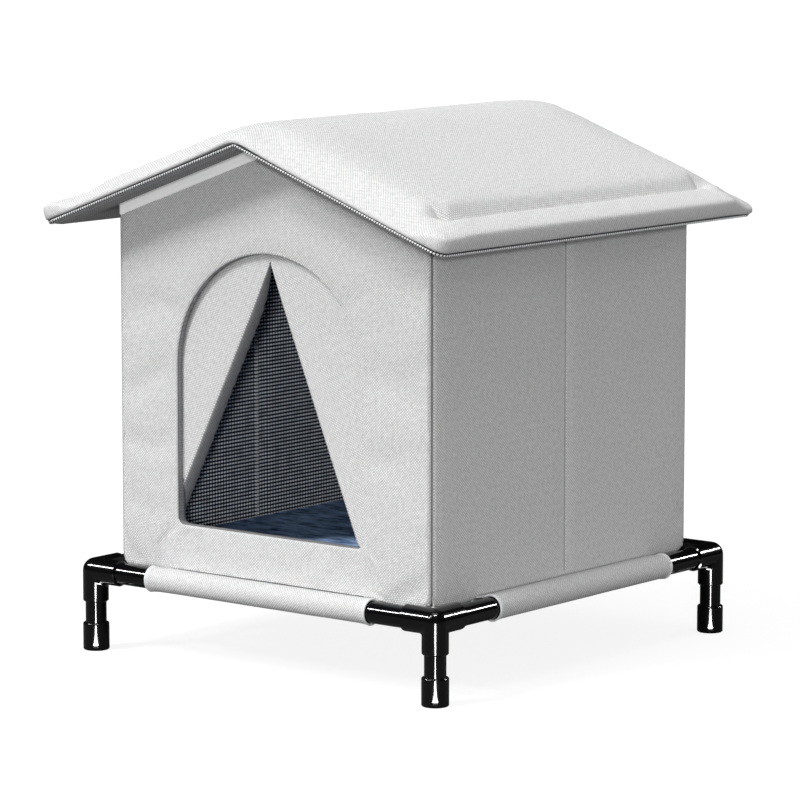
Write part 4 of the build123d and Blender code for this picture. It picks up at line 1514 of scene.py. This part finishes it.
class CatHouseRoof(bpy.types.Operator):
    """Stuff the roof's padded cover and sew its lining and edge piping."""

    bl_idname = "cat_house.roof"
    bl_label = "Roof"

    def execute(self, context):
        roof = context.scene.cat_house_roof
        self.cover(roof)
        self.lining(roof)
        self.piping(roof)
        return {"FINISHED"}

    def blend(self, piece):
        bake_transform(piece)

    def cover(self, roof):
        inner_u, inner_v = EAVE_U - ROOF_INSET, ROOF_HALF - ROOF_INSET
        half_rows = roof_lines(inner_u, roof.step, (CHANNEL_U,))
        half_columns = roof_lines(inner_v, roof.step, (CHANNEL_V,))
        bm = cloth_mesh()
        lay(bm, mirrored(half_columns), mirrored(half_rows), roof_place, roof_flat)
        flipped_to(bm, [f for f in bm.faces if abs(f.normal.z) > 0.3], Vector((0, 0, 1)))
        bmesh.ops.recalc_face_normals(bm, faces=bm.faces)
        pads = ("roof_pad_left", "roof_pad_right")
        piece = piece_from(bm, "roof_cover", finish("outer cloth"), pads)

        def sewn(co):
            u = abs(co.x) / cos(PITCH) - 6 * MM
            v = co.y - MID_ROOF_Y
            if abs(v) > inner_v - 2 * MM or u > inner_u - 4 * MM:
                return 1.0
            off = channel_distance(u, v)
            return 1.0 if abs(off) < 4 * MM and channel_strength(u) > 0.5 else 0.0

        puff(piece, sewn, roof.pressure, roof.bulge)
        self.blend(piece)
        skin = piece.modifiers.new("Soft", "SUBSURF")
        skin.levels = skin.render_levels = 1

    def lining(self, roof):
        edge_u, edge_v = EAVE_U - 3 * MM, ROOF_HALF - 3 * MM
        rim = 32 * MM
        steps = (0, 0.5 * MM, 1.2 * MM, 2.2 * MM, 3.2 * MM, 5 * MM)
        half_u, half_v = (
            spread(
                0.0, edge, 8 * MM, start=(0, 1 * MM), end=steps,
                extra=(edge - rim, edge - rim + 2.5 * MM),
            )
            for edge in (edge_u, edge_v)
        )

        def place(column, row):
            side = -1 if row < 0 else 1
            p, q, depth = rounded(edge_u - abs(row), edge_v - abs(column), 11 * MM)
            u, v = edge_u - p, (edge_v - q) * (1 if column > 0 else -1)
            n = 0.0
            if depth < rim:
                n = -4 * MM * ease(depth / (4 * MM)) * ease((rim - depth) / (3.5 * MM))
            return Vector(
                (
                    side * (u * cos(PITCH) + n * sin(PITCH) * min(1.0, u / RIDGE_SPREAD)),
                    MID_ROOF_Y + v,
                    RIDGE_Z - u * sin(PITCH) + n * cos(PITCH),
                )
            )

        bm = cloth_mesh()
        lay(bm, mirrored(half_v), mirrored(half_u), place)
        flipped_to(bm, bm.faces[:], Vector((0, 0, -1)))
        piece = piece_from(
            bm,
            "roof_lining_cloth",
            finish("lining cloth"),
            ("roof_lining_left", "roof_lining_right"),
        )
        self.blend(piece)
        thicken(piece, 1.0 * MM)
        rows = cloth_mesh()
        for inset in (6 * MM, rim - 5 * MM):
            for side in (-1, 1):
                u_line, v_line = edge_u - inset, edge_v - inset
                path = [
                    place_on_slope(side, u, v, -4.1 * MM)
                    for u, v in (
                        (8 * MM, -v_line), (u_line - 8 * MM, -v_line), (u_line, -v_line + 8 * MM),
                        (u_line, v_line - 8 * MM), (u_line - 8 * MM, v_line), (8 * MM, v_line),
                    )
                ]
                stitches(rows, path, 2.4 * MM, 1.6 * MM, 0.7 * MM)
        sewn = piece_from(rows, "roof_lining_stitches", finish("white thread"))
        self.blend(sewn)

    def piping(self, roof):
        self.edge_tube("edge_cord", 0.6 * MM, -0.9 * MM, roof.bead)
        # A dark cord just above the piping: painted shadow of the seam between the cover and the
        # piping.
        self.edge_tube("edge_seam", 1.4 * MM, 0.9 * MM, 0.0)

    def edge_tube(self, name, out, off, bead):
        """A cord round the whole roof, beaded if bead is its spacing."""
        u_line, v_line, turn = EAVE_U + out, ROOF_HALF + out, 12.5 * MM
        corners = []
        for side, v_sign in ((1, 1), (-1, 1), (-1, -1), (1, -1)):
            run = []
            for i in range(7):
                a = radians(90) * i / 6
                u, v = u_line - turn + turn * cos(a), v_line - turn + turn * sin(a)
                run.append((side, u, v_sign * v))
            if side * v_sign < 0:
                run.reverse()
            corners.append(run)
            if v_sign > 0 and side > 0 or v_sign < 0 and side < 0:
                corners.append([(1, 0.0, v_sign * v_line)])
        bends = [place_on_slope(side, u, v, off) for run in corners for side, u, v in run]
        bends.append(bends[0])
        path, radii, walked = [], [], 0.0
        pitch = bead or 12 * MM
        carry, step = 0.0, pitch / 4
        for before, after in zip(bends, bends[1:]):
            ahead = after - before
            length = ahead.length
            gone = carry
            while gone < length:
                path.append(before + ahead * (gone / length))
                phase = (walked + gone) / pitch * 2 * pi
                radii.append(1.6 * MM * (0.84 + 0.16 * cos(phase)) if bead else 0.7 * MM)
                gone += step
            carry = gone - length
            walked += length
        bm = cloth_mesh()
        tube(bm, path, radii, sides=8, closed=True)
        if bead:
            piece = piece_from(
                bm, name, finish("edge cord", bead),
                ("roof_piping_left", "roof_piping_right"),
            )
        else:
            piece = piece_from(bm, name, finish("dark thread"))
        self.blend(piece)


def place_on_slope(side, u, v, n):
    """A point off the roof's underside, without the ridge's rounding."""
    return Vector(
        (
            side * max(0.0, u * cos(PITCH) + n * sin(PITCH)),
            MID_ROOF_Y + v,
            RIDGE_Z - u * sin(PITCH) + n * cos(PITCH),
        )
    )


# Settings
def length_prop(name, description, default):
    return FloatProperty(name=name, description=description, default=default, unit="LENGTH")


def amount_prop(name, description, default):
    return FloatProperty(name=name, description=description, default=default, min=0)


def angle_prop(name, description, default):
    return FloatProperty(
        name=name, description=description, default=default, subtype="ANGLE", unit="ROTATION"
    )


def colour_prop(name, description, default):
    return FloatVectorProperty(
        name=name, description=description, default=default, subtype="COLOR", min=0, max=1
    )


class StageSettings(bpy.types.PropertyGroup):
    camera_place: FloatVectorProperty(
        name="Camera place",
        description="Where the photograph was taken from",
        default=(2.5812, -3.25015, 0.8377),
        subtype="TRANSLATION",
        unit="LENGTH",
        precision=5,
    )
    azimuth: angle_prop(
        "Azimuth", "Turn of the camera from the front towards the right side", radians(38.4925)
    )
    elevation: angle_prop("Elevation", "Angle of the camera over the horizon", radians(8.0785))
    focal_length: amount_prop("Focal length", "Lens in millimetres on a 36 mm sensor", 186.05)
    key: amount_prop("Key", "Strength of the two lamps in front on the left", 0.69)
    top: amount_prop("Top", "Strength of the lamp overhead", 0.32)
    fill: amount_prop("Fill", "Strength of the lamp that stands by the camera", 0.28)
    air: amount_prop("Air", "Even light from all round", 0.34)
    air_shine: amount_prop("Less shine", "How much darker the air is in reflections", 0.33)
    strip: amount_prop("Strip", "Power of the strips that give thin highlights", 160.0)
    floor_lift: amount_prop("Floor lift", "Light added to the floor so that it shows white", 0.87)


class FinishSettings(bpy.types.PropertyGroup):
    cloth: colour_prop("Cloth", "Lit threads of the outer cloth", (1.0, 1.0, 1.0))
    dots: colour_prop("Lining stitches", "Small stitches over the dark lining", (0.92, 0.96, 1.0))
    mat: colour_prop("Mat", "Tips of the mat's pile", (0.46, 0.68, 1.0))
    fitting: colour_prop("Fittings", "Plastic of the fittings and feet", (0.003, 0.003, 0.0033))
    pipe: colour_prop("Pipes", "Coat of the rails and legs", (0.003, 0.003, 0.0035))


class CotSettings(bpy.types.PropertyGroup):
    cloth: length_prop("Cloth", "Thickness of the cot's cloth", 1.4 * MM)
    front_sleeve: length_prop("End sleeve", "Half length of the front and rear sleeves", 140 * MM)
    side_sleeve: length_prop("Side sleeve", "Half length of the side sleeves", 143 * MM)


class WallSettings(bpy.types.PropertyGroup):
    cloth: length_prop("Cloth", "Thickness of the wall cover", 1.2 * MM)
    step: length_prop("Step", "Spacing of the cover's vertices", 8 * MM)
    crease: length_prop("Crease", "Depth of the crease where a side wall folds", 1.3 * MM)
    door_edge: length_prop("Door edge", "Rounding of the cloth at the door's edge", 2.5 * MM)
    sag: length_prop("Sag", "How far the foot hangs past the deck beside the corners", 3.8 * MM)
    pressure: amount_prop("Pressure", "How hard the padding pushes the cover out", 2.5)
    bulge: length_prop("Bulge", "Most that the padding may push out", 1.3 * MM)


class CurtainSettings(bpy.types.PropertyGroup):
    left_foot: length_prop("Left foot", "Foot of the left fold from the door's middle", 137 * MM)
    right_foot: length_prop("Right foot", "Foot of the right fold from the door's middle", 109 * MM)
    fold_foot: length_prop("Fold, foot", "Depth of the turned-back fold at the sill", 17 * MM)
    fold_head: length_prop("Fold, head", "Depth of the turned-back fold near the apex", 16 * MM)
    rib: amount_prop("Rib", "Depth of the gathered ribs, as a share of the fold's depth", 0.035)
    wave: length_prop("Wave", "How far the hanging cloth waves", 0.5 * MM)


class RoofSettings(bpy.types.PropertyGroup):
    step: length_prop("Step", "Spacing of the cover's vertices", 6.5 * MM)
    pressure: amount_prop("Pressure", "How hard the padding pushes the cover out", 2.0)
    bulge: length_prop("Bulge", "Most that the padding may push out", 0.8 * MM)
    bead: length_prop("Bead", "Spacing of the beads along the edge cord", 3.2 * MM)


STEPS = (
    CatHouseCamera,
    CatHouseStage,
    CatHouseRigid,
    CatHouseCotSheet,
    CatHouseWalls,
    CatHouseTapes,
    CatHouseLiners,
    CatHouseCurtains,
    CatHouseMat,
    CatHouseRoof,
)
SETTINGS = {
    "cat_house_stage": StageSettings,
    "cat_house_finish": FinishSettings,
    "cat_house_cot": CotSettings,
    "cat_house_wall": WallSettings,
    "cat_house_curtain": CurtainSettings,
    "cat_house_roof": RoofSettings,
}


class CatHousePanel(bpy.types.Panel):
    """The steps of the cat house, in order."""

    bl_idname = "VIEW3D_PT_cat_house"
    bl_label = "Cat House"
    bl_space_type = "VIEW_3D"
    bl_region_type = "UI"
    bl_category = "Cat House"

    def draw(self, context):
        for step in STEPS:
            self.layout.operator(step.bl_idname)


def register():
    for kind in (*SETTINGS.values(), *STEPS, CatHousePanel):
        bpy.utils.register_class(kind)
    for name, kind in SETTINGS.items():
        setattr(bpy.types.Scene, name, PointerProperty(type=kind))


def unregister():
    for name in SETTINGS:
        delattr(bpy.types.Scene, name)
    for kind in reversed((*SETTINGS.values(), *STEPS, CatHousePanel)):
        bpy.utils.unregister_class(kind)


def main():
    register()
    bpy.ops.cat_house.camera()
    bpy.ops.cat_house.stage()
    bpy.ops.cat_house.rigid()
    bpy.ops.cat_house.cot_sheet()
    bpy.ops.cat_house.walls()
    bpy.ops.cat_house.tapes()
    bpy.ops.cat_house.liners()
    bpy.ops.cat_house.curtains()
    bpy.ops.cat_house.mat()
    bpy.ops.cat_house.roof()
    boxes = {"cad": CAD_BOX, "scene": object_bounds()}
    {name: [list(corner) for corner in box] for name, box in boxes.items()}


if __name__ == "__main__":
    main()
